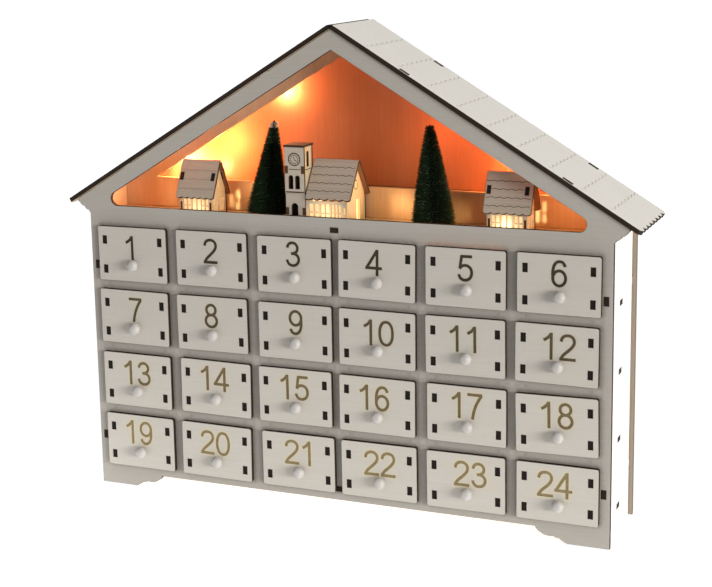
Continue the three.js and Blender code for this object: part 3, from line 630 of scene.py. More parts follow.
W_DIGIT, H_DIGIT, ADVANCE = 1.95, 17.2, 11.7     # stroke, height and step of the digits, in mm
top = H_DIGIT - W_DIGIT / 2
bot = W_DIGIT / 2
SIX = [path(((9.95, 13.1), (9.5, 15.1), (8.4, top), (6.65, top)), ((6.65, top), (3.9, top), (2.2, 13.6), (2.2, 8.4)), ((2.2, 8.4), (2.2, 7.5), (2.2, 6.8), (2.3, 6.0))),
       ellipse(6.3, 5.7, 4.05, 5.7 - bot)]
GLYPHS = {
    "0": [ellipse(6.25, 8.6, 4.45, 8.6 - bot, 2.25, 56)],
    "1": [[(7.3, 0), (7.3, H_DIGIT)], path(((7.1, 16.6), (6.1, 14.6), (4.4, 13.2), (2.5, 12.4)))],
    "2": [path(((1.95, 12.2), (2.0, 14.9), (3.9, top), (6.3, top)), ((6.3, top), (8.7, top), (10.25, 14.6), (10.25, 12.4)),
               ((10.25, 12.4), (10.25, 10.2), (8.5, 8.4), (6.1, 6.2)), ((6.1, 6.2), (4.1, 4.5), (2.6, 3.1), (1.9, 1.2))), [(0.9, bot), (11.2, bot)]],
    "3": [path(((1.9, 4.7), (2.3, 2.3), (3.8, bot), (5.9, bot)), ((5.9, bot), (8.4, bot), (10.3, 2.7), (10.3, 5.1)),
               ((10.3, 5.1), (10.3, 7.4), (8.6, 9.0), (6.2, 9.0)), ((6.2, 9.0), (5.8, 9.0), (5.2, 9.0), (4.8, 8.95))),
          path(((5.3, 9.0), (7.7, 9.0), (9.5, 10.4), (9.5, 12.6)), ((9.5, 12.6), (9.5, 14.7), (7.9, top), (5.9, top)), ((5.9, top), (4.0, top), (2.6, 15.0), (2.2, 12.8)))],
    "4": [[(8.55, 0), (8.55, H_DIGIT)], [(8.3, 16.4), (1.45, 5.2)], [(0.5, 5.05), (11.8, 5.05)]],
    "5": [[(3.3, 16.2), (10.5, 16.2)], [(3.75, 16.9), (2.5, 8.2)], path(((2.3, 8.2), (3.2, 9.7), (4.4, 10.5), (6.0, 10.5)), ((6.0, 10.5), (8.6, 10.5), (10.3, 8.6), (10.3, 5.8)),
               ((10.3, 5.8), (10.3, 3.0), (8.4, bot), (5.8, bot)), ((5.8, bot), (3.7, bot), (2.2, 2.3), (1.85, 4.6)))],
    "6": SIX,
    "7": [[(1.2, 16.2), (11.0, 16.2)], path(((10.6, 16.0), (7.8, 12.2), (5.2, 6.8), (4.5, 0.0)))],
    "8": [ellipse(6.25, 12.75, 3.45, top - 12.75), ellipse(6.25, 5.15, 4.15, 5.15 - bot)],
    "9": [[(12.5 - x, H_DIGIT - y) for x, y in s] for s in SIX],
}


def glyph_sdf(pts, strokes, w=W_DIGIT):
    """Signed distance to the strokes, below zero on them, with square ends."""
    best = np.full(len(pts), 1e9)
    for s in strokes:
        s = np.array(s)
        closed = np.allclose(s[0], s[-1])
        a, b = s[:-1], s[1:]
        ab = b - a
        ll = (ab ** 2).sum(1)
        raw = ((pts[:, None, :] - a) * ab).sum(2) / ll
        t = np.clip(raw, 0, 1)
        q = a + t[:, :, None] * ab
        d = np.sqrt(((pts[:, None, :] - q) ** 2).sum(2))
        k = d.argmin(1)
        row = np.arange(len(pts))
        dist = d[row, k] - w / 2
        if not closed:
            for end, at in ((0, k == 0), (1, k == len(a) - 1)):
                over = at & ((raw[row, k] < 0) if end == 0 else (raw[row, k] > 1))
                if not over.any():
                    continue
                i = 0 if end == 0 else len(a) - 1
                u = ab[i] / math.sqrt(ll[i]) * (-1 if end == 0 else 1)
                rel = pts[over] - (a[i] if end == 0 else b[i])
                along = rel @ u
                side = np.abs(rel[:, 0] * u[1] - rel[:, 1] * u[0]) - w / 2
                dist[over] = np.where(side > 0, np.hypot(np.maximum(side, 0), np.maximum(along, 0)), np.maximum(along, side))
        best = np.minimum(best, dist)
    return best


def contour(fn, x0, y0, x1, y1, h=0.22):
    """Loops where fn crosses zero, found on a grid."""
    nx, ny = int((x1 - x0) / h) + 1, int((y1 - y0) / h) + 1
    xs, ys = x0 + h * np.arange(nx), y0 + h * np.arange(ny)
    gx, gy = np.meshgrid(xs, ys)
    F = fn(np.stack([gx.ravel(), gy.ravel()], 1)).reshape(ny, nx)
    F[F == 0] = 1e-9
    pts, nxt = {}, {}

    def cross(i, j, di, dj):
        key = (i, j, di)
        if key not in pts:
            a, b = F[j, i], F[j + dj, i + di]
            t = a / (a - b)
            pts[key] = (xs[i] + h * di * t, ys[j] + h * dj * t)
        return key

    for j in range(ny - 1):
        for i in range(nx - 1):
            c = (F[j, i] < 0) | (F[j, i + 1] < 0) << 1 | (F[j + 1, i + 1] < 0) << 2 | (F[j + 1, i] < 0) << 3
            if c in (0, 15):
                continue
            e = lambda k: (cross(i, j, 1, 0), cross(i + 1, j, 0, 1), cross(i, j + 1, 1, 0), cross(i, j, 0, 1))[k]
            table = {1: [(0, 3)], 2: [(1, 0)], 3: [(1, 3)], 4: [(2, 1)], 5: [(0, 3), (2, 1)], 6: [(2, 0)], 7: [(2, 3)], 8: [(3, 2)],
                     9: [(0, 2)], 10: [(3, 2), (1, 0)], 11: [(1, 2)], 12: [(3, 1)], 13: [(0, 1)], 14: [(3, 0)]}[int(c)]
            edge = {0: lambda: cross(i, j, 1, 0), 1: lambda: cross(i + 1, j, 0, 1), 2: lambda: cross(i, j + 1, 1, 0), 3: lambda: cross(i, j, 0, 1)}
            for a, b in table:
                nxt[edge[a]()] = edge[b]()
    loops = []
    while nxt:
        start, cur = next(iter(nxt)), None
        loop, cur = [], start
        while cur in nxt:
            loop.append(pts[cur])
            cur = nxt.pop(cur)
        if len(loop) > 6:
            loops.append(loop)
    # drop points on nearly straight runs
    thin = []
    for l in loops:
        out = [l[0]]
        for k in range(1, len(l)):
            a, p, b = np.array(out[-1]), np.array(l[k]), np.array(l[(k + 1) % len(l)])
            d = b - a
            n = math.hypot(*d)
            off = abs(d[0] * (p - a)[1] - d[1] * (p - a)[0]) / n if n > 1e-9 else 1
            if off > 0.012 or math.hypot(*(p - a)) > 1.6:
                out.append(l[k])
        if len(out) > 3:
            thin.append(out)
    return thin


_glyph_loops = {}


def number_marks(n, dx=0.0, dz=0.0):
    """(loops, signed distance) of a number, centred on a drawer front, in the front's own x and z."""
    s = str(n)
    x0 = -ADVANCE * len(s) / 2 + dx
    loops, parts = [], []
    for i, ch in enumerate(s):
        if ch not in _glyph_loops:
            _glyph_loops[ch] = contour(lambda p, g=GLYPHS[ch]: glyph_sdf(p, g), -1.0, -1.0, 13.5, 18.3)
        ox = x0 + ADVANCE * i - 0.05
        loops += [[(x + ox, y - 2.35 + dz) for x, y in l] for l in _glyph_loops[ch]]
        parts.append((ch, ox))
    return loops, lambda p: np.min([glyph_sdf(p - np.array([ox, dz - 2.35]), GLYPHS[ch]) for ch, ox in parts], 0)


# ------------------------------------------------------------------ lathe and tube helpers
def lathe(name, profile, origin, axis, segments=32, mat=None, body="house", smooth=True, cap=True):
    """Turned piece: profile of (radius, along) in mm round the axis."""
    a = Vector(axis).normalized()
    e1 = a.orthogonal().normalized()
    e2 = a.cross(e1)
    verts, faces = [], []
    rings = []
    for r, h in profile:
        if r < 1e-6:
            rings.append([len(verts)])
            verts.append(tuple((Vector(origin) + a * h) * MM))
        else:
            rings.append(list(range(len(verts), len(verts) + segments)))
            for i in range(segments):
                t = 2 * math.pi * i / segments
                verts.append(tuple((Vector(origin) + a * h + (e1 * math.cos(t) + e2 * math.sin(t)) * r) * MM))
    for A, B in zip(rings, rings[1:]):
        for i in range(segments):
            j = (i + 1) % segments
            if len(A) == 1 and len(B) == 1:
                continue
            if len(A) == 1:
                faces.append((A[0], B[j], B[i]))
            elif len(B) == 1:
                faces.append((A[i], A[j], B[0]))
            else:
                faces.append((A[i], A[j], B[j], B[i]))
    me = bpy.data.meshes.new(name)
    me.from_pydata(verts, [], faces)
    if smooth:
        me.polygons.foreach_set("use_smooth", [True] * len(me.polygons))
    if mat:
        me.materials.append(mat)
    me.validate()
    o = link(name, me, body)
    return o


def smooth_profile(pts, n=6):
    """A soft curve through the profile points."""
    out = []
    P = [pts[0]] + list(pts) + [pts[-1]]
    for i in range(1, len(P) - 2):
        p0, p1, p2, p3 = (Vector(P[k]) for k in (i - 1, i, i + 1, i + 2))
        for k in range(n):
            t = k / n
            q = 0.5 * ((2 * p1) + (p2 - p0) * t + (2 * p0 - 5 * p1 + 4 * p2 - p3) * t * t + (3 * p1 - p0 - 3 * p2 + p3) * t ** 3)
            out.append((max(0.0, q.x), q.y))
    out.append(tuple(pts[-1]))
    return out


def tube(name, pts, radius, mat, body="house", resolution=8, order=3, bevel_res=5):
    cu = bpy.data.curves.new(name, "CURVE")
    cu.dimensions = "3D"
    cu.bevel_depth = radius * MM
    cu.bevel_resolution = bevel_res
    cu.use_fill_caps = True
    sp = cu.splines.new("POLY")
    sp.points.add(len(pts) - 1)
    for p, q in zip(sp.points, pts):
        p.co = (*(Vector(q) * MM), 1)
    sp.use_smooth = True
    cu.materials.append(mat)
    o = bpy.data.objects.new(name, cu)
    scene.collection.objects.link(o)
    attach(o, body)
    return o


def catmull(pts, n=8):
    P = [Vector(p) for p in pts]
    P = [P[0] + (P[0] - P[1])] + P + [P[-1] + (P[-1] - P[-2])]
    out = []
    for i in range(1, len(P) - 2):
        p0, p1, p2, p3 = P[i - 1:i + 3]
        for k in range(n):
            t = k / n
            out.append(0.5 * ((2 * p1) + (p2 - p0) * t + (2 * p0 - 5 * p1 + 4 * p2 - p3) * t * t + (3 * p1 - p0 - 3 * p2 + p3) * t ** 3))
    out.append(P[-2])
    return out


# ------------------------------------------------------------------ panels
def bulged(a, b, h, n=4):
    """Points from a to b along a small round lobe of height h, to the right of the way; b itself is left out."""
    a, b = Vector(a), Vector(b)
    d = (b - a)
    nrm = Vector((d.y, -d.x)).normalized()
    return [tuple(a + d * (i / n) + nrm * h * math.sin(math.pi * i / n)) for i in range(n)]


def gable(tabs=True):
    foot = [(135.6, BOTTOM), (136.9, 7.2), (139.3, 5.6), (141.9, 4.2), (147.4, 4.0), (151.6, 3.0), (154.2, 1.2), (FOOT_IN, 0)]
    steps = [(HALF_W, CORBEL_Z), (185.2, 197.6), (187.4, 198.3), (188.6, 200.1), (190.8, 200.9), (192.0, 202.8), (CORBEL_X, 203.6)]
    p = []
    for a, b in zip(foot, foot[1:]):
        p += bulged(a, b, 0.28, 3)
    p += [foot[-1], (HALF_W, 0)]
    for a, b in zip(steps, steps[1:]):
        p += bulged(a, b, 0.4, 4)
    p += [steps[-1], (CORBEL_X, roof_line(CORBEL_X) - 0.35)]
    for u in reversed(ROOF_TABS):
        for du, h in ((TAB_U / 2, -0.3), (TAB_U / 2, T), (-TAB_U / 2, T), (-TAB_U / 2, -0.3)):
            uu = u + du
            p.append((uu * cs + h * sn, RIDGE_Z - uu * sn + h * cs))
    p.append((0, RIDGE_Z - 0.35))
    return p + [(-x, z) for x, z in p[:-1][::-1]]


def window_loop(apex, sill, corner, radius, steps):
    slope = math.atan2(apex - sill, corner)
    tan = radius / math.tan(slope / 2)
    cx, cz = corner - tan, sill + radius
    a = [(cx + radius * math.cos(-math.pi / 2 + (math.pi - slope) * i / steps), cz + radius * math.sin(-math.pi / 2 + (math.pi - slope) * i / steps)) for i in range(steps + 1)]
    return a + [(0, apex)] + [(-x, z) for x, z in a[::-1]]


side_slots = [rect(sg * (WALL_X - T / 2) - 1.7, z - 2.9, sg * (WALL_X - T / 2) + 1.7, z + 2.9) for z in SIDE_TABS for sg in (-1, 1)]
low_slot = ROW_Z[3] - SHELF_DROP
front_holes = [window_loop(WIN_APEX, WIN_SILL, WIN_X, WIN_R, 14)] + side_slots + [rect(-2.9, ATTIC_Z - 1.75, 2.9, ATTIC_Z + 1.75), rect(-2.9, low_slot - 1.75, 2.9, low_slot + 1.75)]
for r in range(4):
    for c in range(6):
        x, z = column_x(c), row_z(r)
        front_holes.append(rect(x - HOLE_W / 2, z + HOLE_B, x + HOLE_W / 2, z + HOLE_T))
plates = [(column_x(c), row_z(r) + PLATE_UP) for r in range(4) for c in range(6)]


def grime(p):
    """Painted shade that darkens the panel round the drawer fronts, strongest right next to them."""
    best = np.full(len(p), 1e9)
    for x, z in plates:
        dx, dz = np.abs(p[:, 0] - x) - FRONT_W / 2, np.abs(p[:, 1] - z) - FRONT_H / 2
        best = np.minimum(best, np.where((dx < 0) & (dz < 0), np.maximum(dx, dz), np.hypot(np.maximum(dx, 0), np.maximum(dz, 0))))
    return 0.66 * np.exp(-np.maximum(best, 0) / 1.6) * (best > -2.5)


ring = []
for x, z in plates:
    for d in (-0.5, 0.35, 1.15, 2.1, 3.1):
        w_, h_ = FRONT_W / 2 + d, FRONT_H / 2 + d
        for i in range(10):
            f_ = i / 9 * 2 - 1
            ring += [(x + w_ * f_, z + h_ + 0.013 * (i % 3)), (x + w_ * f_, z - h_ - 0.011 * (i % 3))]
        for i in range(1, 7):
            f_ = i / 7 * 2 - 1
            ring += [(x + w_ + 0.012 * (i % 3), z + h_ * f_), (x - w_ - 0.010 * (i % 3), z + h_ * f_)]
ring = list({(round(a_, 2), round(b_, 2)): (a_, b_) for a_, b_ in ring}.values())
front_panel = ply("house_front", FRONT(0), gable(), front_holes, mats=(PANEL, EDGE, EDGE, INNER), extra=ring, halo=grime, slot="grey_board")
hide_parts("front_panel")

mirror = lambda loop: [(-x, z) for x, z in loop]
back_holes = [mirror(h) for h in side_slots] + [mirror(rect(BOX["x0"] - 0.4, BOX["z0"] - 0.25, BOX["x1"] + 0.4, BOX["z1"] + 0.1))]
back_holes += [rect(x - 2.9, ATTIC_Z - 1.75, x + 2.9, ATTIC_Z + 1.75) for x in (-120, 120)]
back_panel = ply("house_back", REAR(BACK_Y + T), gable(), back_holes, mats=(RAW, EDGE_RAW, EDGE_RAW, GLOWING), slot="raw_board")
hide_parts("back_panel")

SHELF_Z = [row_z(r) - SHELF_DROP for r in (3, 2, 1, 0)]
for name, sg in (("side_wall_left", -1), ("side_wall_right", 1)):
    top_z, a, b = roof_line(WALL_X) - 0.6, T + 0.3, BACK_Y - 0.3
    reach = T + 0.3 - 0.1
    pts = [(a, 0), (b, 0)]
    for z in sorted(SIDE_TABS):
        pts += [(b, z - 2.6), (b + reach, z - 2.6), (b + reach, z + 2.6), (b, z + 2.6)]
    pts += [(b, top_z), (a, top_z)]
    for z in sorted(SIDE_TABS, reverse=True):
        pts += [(a, z + 2.6), (a - reach, z + 2.6), (a - reach, z - 2.6), (a, z - 2.6)]
    hs = [rect(30, z - 1.75, 37.6, z + 1.75) for z in SHELF_Z]
    if sg < 0:
        pts, hs = [(-y, z) for y, z in pts], [[(-y, z) for y, z in h] for h in hs]
    o = ply("house_side_left" if sg < 0 else "house_side_right", LEFT(-WALL_X) if sg < 0 else RIGHT(WALL_X), pts, hs, mats=(WALL, EDGE, EDGE, INNER_Z), slot="white_board")
    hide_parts(name)

# ------------------------------------------------------------------ roof: eight lobes at the eave, scalloped shingle courses engraved across
lobes, depth = 8, 2.2
lobe_w = (ROOF_BACK - ROOF_FRONT) / lobes
COURSES = (23.8, 44.3, 63.8, 83.4, 102.8, 122.4, 142.6, 162.9, 181.7)
for name, sg in (("roof_left", -1), ("roof_right", 1)):
    yy = lambda y: sg * y
    pts = [(0.25, yy(ROOF_BACK)), (0.25, yy(ROOF_FRONT))]
    for i in range(lobes):
        for k in range(0 if i == 0 else 1, 9):
            pts.append((SLAB_L - depth + depth * math.sin(math.pi * k / 8), yy(ROOF_FRONT + lobe_w * (i + k / 8))))
    hs = []
    for u in ROOF_TABS:
        for y in (0, BACK_Y):
            h = TAB_U / 2 + 0.3
            hs.append(rect(u - h, min(yy(y - 0.3), yy(y + T + 0.3)), u + h, max(yy(y - 0.3), yy(y + T + 0.3))))
    marks = []
    for xc in COURSES:
        uc = (xc - T * sn) / cs
        y_a, y_b, n = 3.6, 65.6, 7
        w = (y_b - y_a) / n
        line, width = [], []
        for i in range(n):
            for k in range(0 if i == 0 else 1, 9):
                s = math.sin(math.pi * k / 8)
                line.append((uc - 0.7 + 1.5 * s, yy(y_a + w * (i + k / 8))))
                width.append(0.30 + 0.60 * (1 - s) ** 2)
        marks += ribbon(line, width)
    O = Vector((0, Y0, RIDGE_Z)) + Vector((sg * sn, 0, cs)) * T
    place = (O, Vector((sg * cs, 0, -sn)), Vector((0, sg, 0)), -Vector((sg * sn, 0, cs)))
    o = ply("house_" + name, place, pts, hs, mats=(ROOF, EDGE, SHINGLE, ROOF_UNDER), engrave=[([m], 0.22) for m in marks], slot="roof_board")
    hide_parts(name)

# ------------------------------------------------------------------ attic floor, shelves, dividers
INX = WALL_X - T - 0.3
a, b = T + 0.3, BACK_Y - 0.3
pts = [(-INX, a), (-2.6, a), (-2.6, 0.1), (2.6, 0.1), (2.6, a), (INX, a), (INX, b), (122.6, b), (122.6, b + 3.2), (117.4, b + 3.2), (117.4, b),
       (-117.4, b), (-117.4, b + 3.2), (-122.6, b + 3.2), (-122.6, b), (-INX, b)]
o = ply("house_attic_floor", TOP(FLOOR), pts, mats=(INNER, EDGE, EDGE, INNER), slot="inner_board")
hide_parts("attic_floor")
MIDY = (T + BACK_Y) / 2
DIV_X = (-120, -60, 0, 60, 120)
for i, z in enumerate(SHELF_Z):
    pts = [(-INX, a)]
    if i:
        for x in DIV_X:
            pts += [(x - 1.8, a), (x - 1.8, MIDY + 0.2), (x + 1.8, MIDY + 0.2), (x + 1.8, a)]
    else:
        pts += [(-2.6, a), (-2.6, 0.1), (2.6, 0.1), (2.6, a)]
    e = WALL_X - 0.05
    pts += [(INX, a), (INX, 30.3), (e, 30.3), (e, 37.3), (INX, 37.3), (INX, b), (-INX, b), (-INX, 37.3), (-e, 37.3), (-e, 30.3), (-INX, 30.3)]
    o = ply("house_shelf_%d" % (i + 1), TOP(z + T / 2), pts, mats=(INNER, EDGE, EDGE, INNER), slot="inner_board")
    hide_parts("shelf_%d" % (i + 1))
for i, x in enumerate(DIV_X):
    lo, hi = SHELF_Z[0] + T / 2 + 0.3, ATTIC_Z - T / 2 - 0.3
    pts = [(a, lo), (b, lo)]
    for z in SHELF_Z[1:]:
        pts += [(b, z - 1.8), (MIDY - 0.2, z - 1.8), (MIDY - 0.2, z + 1.8), (b, z + 1.8)]
    pts += [(b, hi), (a, hi)]
    o = ply("house_divider_%d" % (i + 1), RIGHT(x + T / 2), pts, mats=(INNER_Z, EDGE, EDGE, INNER_Z), slot="inner_board")
    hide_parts("divider_%d" % (i + 1))

# ------------------------------------------------------------------ light baffle, with a small notch that held the wire for assembly
pts = [(-INX, FLOOR + 0.3)]
for l in LEAD_X:
    pts += [(l - 1.8, FLOOR + 0.3), (l - 1.8, FLOOR + 3.6), (l + 1.8, FLOOR + 3.6), (l + 1.8, FLOOR + 0.3)]
up = lambda x: roof_line(x) - 0.7
pts += [(INX, FLOOR + 0.3), (INX, up(INX)), (0, up(0)), (-INX, up(-INX))]
notch = lambda x: [(x - 0.9, BAFFLE_SILL), (x - 0.9, BAFFLE_SILL - 1.6), (x + 0.9, BAFFLE_SILL - 1.6), (x + 0.9, BAFFLE_SILL)]
hole = [(-BAFFLE_X, BAFFLE_SILL)] + [p for x in (-80.0,) for p in notch(x)] + [(BAFFLE_X, BAFFLE_SILL), (0, BAFFLE_APEX)]
o = ply("house_baffle", FRONT(BAFFLE_Y), pts, [hole], mats=(BAFFLE, EDGE_BAFFLE_PAINTED_LIGHT, EDGE_BAFFLE_PAINTED_LIGHT, INNER_Z), slot="inner_board")
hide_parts("light_baffle")

# ------------------------------------------------------------------ cottages and church, each of small sheets
WT = 1.6


def wave(x0, x1, v0, amp, period, phase=0.0, w=0.42):
    """A shingle line: shallow arches side by side."""
    pts, x = [], x0
    while x < x1 + 1e-6:
        s = abs(math.sin(math.pi * (x - phase) / period))
        pts.append((x, v0 - amp * (1 - s) ** 1.0))
        x += period / 10
    return ribbon(pts, w)[0]


def panes(x0, z0, x1, z1, nx=2, nz=2, bar=0.55):
    w, h = (x1 - x0 - bar * (nx - 1)) / nx, (z1 - z0 - bar * (nz - 1)) / nz
    return [rect(x0 + i * (w + bar), z0 + k * (h + bar), x0 + i * (w + bar) + w, z0 + k * (h + bar) + h) for i in range(nx) for k in range(nz)]


def cottage(h, eave_lobes, lines, church=False):
    n, x0, x1, y0, y1, eave, ridge = h["name"], h["x0"], h["x1"], h["y0"], h["y1"], h["eave"], h["ridge"]
    ym, z0 = (y0 + y1) / 2, FLOOR + 0.2
    L = x1 - x0
    ang = math.atan2(ridge - eave, ym - y0)
    made = []
    mats = (SCENE, EDGE_SCENE, SCENE_LINE, SCENE)
    lit = (SCENE_LIT[h["lit"]], EDGE_LIT, SCENE_LINE, SCENE)
    low = eave - 1.0
    ov0, ov1 = (0.0, 2.6) if church else (h["ov0"], h["ov1"])
    # the cottages' front walls carry the gable walls' tabs in slots near their ends
    slots_z = FLOOR + 4.4
    tabs = lambda xa: rect(xa - 0.8, slots_z, xa + 0.8, slots_z + 4.6)
    ga, gb = (x0 + 0.5, x1 - 0.5)
    if church:
        holes = panes(x0 + 2.2, FLOOR + 2.6, x0 + 9.0, FLOOR + 14.2, 2, 2, 0.7) + panes(x0 + 10.4, FLOOR + 1.4, x0 + 16.6, FLOOR + 14.4, 2, 2, 0.6) + panes(x0 + 18.0, FLOOR + 2.6, x0 + 24.6, FLOOR + 14.2, 3, 2, 0.7)
        front_holes_ = holes + [rect(x1 - 3.0, FLOOR + 7.6, x1 - 1.0, FLOOR + 12.2)]
    else:
        front_holes_ = panes(x0 + 2.9, FLOOR + 3.0, x0 + 8.2, FLOOR + 12.4, 2, 2, 0.7) + panes(x0 + 9.4, FLOOR + 0.9, x0 + 16.2, FLOOR + 12.8, 2, 1, 0.7) + panes(x1 - 8.4, FLOOR + 3.0, x1 - 2.9, FLOOR + 12.4, 2, 2, 0.8)
        front_holes_ += [rect(x0 + 0.45, FLOOR + 4.4, x0 + 2.2, FLOOR + 10.4), rect(x1 - 2.2, FLOOR + 4.4, x1 - 0.45, FLOOR + 10.4)]
    made.append(ply(n + "_front_wall", FRONT(y0), rect(x0, z0, x1, low), front_holes_, WT, lit, burn=0.4, chamfer=0.08, slot="scene_board"))
    wb = (x0 + L * 0.62, x0 + L * 0.87, FLOOR + 3.2, FLOOR + 11.4) if church else h["back"]
    back = panes(wb[0], wb[2], wb[1], wb[3], 2, 1 if not church else 2, 1.1 if not church else 0.8) + panes(x0 + L * 0.13, FLOOR + 3.2, x0 + L * 0.38, FLOOR + 11.4, 2, 2, 0.8)
    lead = rect(h["lead"] - 1.8, z0, h["lead"] + 1.8, z0 + 3.8)
    outline_back = [(x0, z0), (h["lead"] - 1.8, z0), (h["lead"] - 1.8, z0 + 3.6), (h["lead"] + 1.8, z0 + 3.6), (h["lead"] + 1.8, z0), (x1, z0), (x1, low), (x0, low)]
    made.append(ply(n + "_back_wall", REAR(y1), mirror(outline_back), [mirror(p) for p in back], WT, mats, burn=0.4, chamfer=0.08, slot="scene_board"))
    # gable walls between them, a little inside the ends
    ya, yb = y0 + WT + 0.05, y1 - WT - 0.05
    top_at = lambda y: ridge - 0.45 - abs(y - ym) * math.tan(ang)
    gable_pts = [(ya, z0), (yb, z0), (yb, top_at(yb)), (ym, ridge - 0.7), (ya, top_at(ya))]
    if church:
        gable_holes = [rect(ym + 1.0, FLOOR + 1.6, ym + 6.4, FLOOR + 15.6), circle(ym + 0.6, FLOOR + 25.2, 2.0, 20)]
        rings = [[circle(ym + 0.6, FLOOR + 25.2, 3.3, 24), circle(ym + 0.6, FLOOR + 25.2, 2.7, 24)]]
    else:
        gable_holes = panes(ym - 7.2, FLOOR + 3.4, ym - 1.6, FLOOR + 11.4) + panes(ym + 1.6, FLOOR + 3.4, ym + 7.2, FLOOR + 11.4) + [arch(ym - 1.1, FLOOR + 20.0, ym + 1.1, FLOOR + 23.6, 6)]
        rings = []
    # the right gable takes the painted warm light
    made.append(ply(n + "_gable_right", RIGHT(gb), gable_pts, gable_holes, WT, (SCENE_SIDE_PAINTED_LIGHT, EDGE_CHURCH if church else EDGE_COTTAGE) + mats[2:], engrave=[(r, 0.25) for r in rings], burn=0.15, chamfer=0.08, slot="scene_board"))
    flip = lambda l: [(-y, z) for y, z in l]
    left_x = ga if not church else x0 + 0.1
    made.append(ply(n + "_gable_left", LEFT(left_x), flip(gable_pts), [flip(g) for g in (gable_holes if not church else [])], WT, mats, burn=0.4, chamfer=0.08, slot="scene_board"))
    # roof boards
    over = 0.9 if church else 2.3
    length = math.hypot(ym - y0, ridge - eave)
    xa, xb = x0 - ov0, x1 + ov1
    c, s = math.cos(ang), math.sin(ang)
    for side, sg in (("front", -1), ("back", 1)):
        nrm = Vector((0, sg * s, c))
        V = Vector((0, -sg * c, s))
        U = Vector((1, 0, 0)) if sg < 0 else Vector((-1, 0, 0))
        O = Vector((0, Y0 + ym, ridge)) + nrm * 1.6
        ua, ub = (xa, xb) if sg < 0 else (-xb, -xa)
        lobe = (ub - ua) / eave_lobes
        bottom = -(length + over)
        p = []
        for i in range(eave_lobes):
            for k in range(0 if i == 0 else 1, 7):
                p.append((ua + lobe * (i + k / 6), bottom + 0.9 - 0.9 * math.sin(math.pi * k / 6)))
        ridge_v = 0.85 if sg < 0 else -0.86
        p += [(ub, ridge_v), (ua, ridge_v)]
        sl = []
        if not church:
            for xs in (x0 + 0.35, x1 - 0.95):
                uu = xs if sg < 0 else -xs
                sl.append(rect(uu - 1.3, -length * 0.57, uu + 1.3, -length * 0.35))
        marks = []
        for k in range(lines):
            v0 = -(length + over) * (k + 1) / (lines + 1) + (0.9 if church else 0.2)
            seg = [(ua + 0.55, ub - 0.55)]
            for q0, q1 in seg:
                marks.append(wave(q0, q1, v0, 0.75, 5.4, phase=ua + 1.9 + 1.7 * (k % 2), w=h.get("line", 0.42)))
        if sl:      # the lines stop short of the slots
            keep = []
            for m in marks:
                hit = False
                for r_ in sl:
                    xs_, zs_ = [q[0] for q in r_], [q[1] for q in r_]
                    if any(min(xs_) - 0.3 < q[0] < max(xs_) + 0.3 and min(zs_) - 0.5 < q[1] < max(zs_) + 0.5 for q in m):
                        hit = True
                if not hit:
                    keep.append(m)
                else:
                    lo_, hi_ = sorted((min(q[0] for q in sl[0]), max(q[0] for q in sl[0]), min(q[0] for q in sl[1]), max(q[0] for q in sl[1])))[1:3]
                    v_mid = sum(q[1] for q in m) / len(m)
                    keep.append(wave(lo_ + 0.7, hi_ - 0.7, v_mid + 0.35, 0.75, 5.4, phase=lo_, w=h.get("line", 0.42)))
            marks = keep
        # the cottages' back slopes and every roof's underside take the painted shade
        made.append(ply(n + "_roof_" + side, (O, U, V, -nrm), p, sl, 1.7, (SCENE_ROOF if sg < 0 or church else SCENE_PAINTED_SHADE, EDGE_SCENE, h.get("mark", SCENE_LINE), SCENE_PAINTED_SHADE), engrave=[([m], 0.22) for m in marks], burn=0.7, chamfer=0.1, slot="scene_board"))
        # tab ends that show in the roof's slots
        for j, r_ in enumerate(sl):
            us, vs = [q[0] for q in r_], [q[1] for q in r_]
            tab = rect(min(us) + 0.15, min(vs) + 0.15, max(us) - 0.15, max(vs) - 0.15)
            made.append(ply("%s_roof_tab_%s_%d" % (n, side, j + 1), (O - nrm * 0.45, U, V, -nrm), tab, t=1.2, mats=(TAB_END, TAB_END), burn=0.2, chamfer=0.05, slot="scene_board"))
    if not church:
        for j, xs in enumerate((x0 + 1.32, x1 - 1.32)):
            made.append(ply("%s_wall_tab_%d" % (n, j + 1), FRONT(y0 + 0.3), rect(xs - 0.75, FLOOR + 4.55, xs + 0.75, FLOOR + 10.25), t=1.1, mats=(TAB_BROWN, TAB_BROWN), burn=0.2, chamfer=0.05, slot="scene_board"))
    # paper behind the windows of the front and of the right gable
    hx, hz, hi = h["hot"]
    glow_front = vellum(n + "_paper_front", hx, hz, 9.5, 9.0, (1.0, 0.70, 0.34), 0.95, hi)
    made.append(ply(n + "_paper_front", FRONT(y0 + WT + 0.06), rect(x0 + (1.95 if church else 2.4), z0 + 0.3, x1 - 2.4, low - 0.6), t=0.15, mats=(glow_front, glow_front), burn=0, chamfer=0.02, slot="scene_board"))
    tint, strength = ((1.0, 0.88, 0.34), 1.10) if church else ((1.0, 0.72, 0.38), 1.05)
    glow_side = vellum(n + "_paper_side", x1, FLOOR + 8, 40.0, 16.0, tint, strength * 0.7, strength)
    side_rect = rect(ym + 0.4, FLOOR + 1.1, ym + 7.0, FLOOR + 16.1) if church else rect(ym - 7.6, FLOOR + 3.0, ym + 7.6, FLOOR + 11.8)
    made.append(ply(n + "_paper_side", RIGHT(gb - WT - 0.06), side_rect, t=0.15, mats=(glow_side, glow_side), burn=0, chamfer=0.02, slot="scene_board"))
    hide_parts(n)
    return made




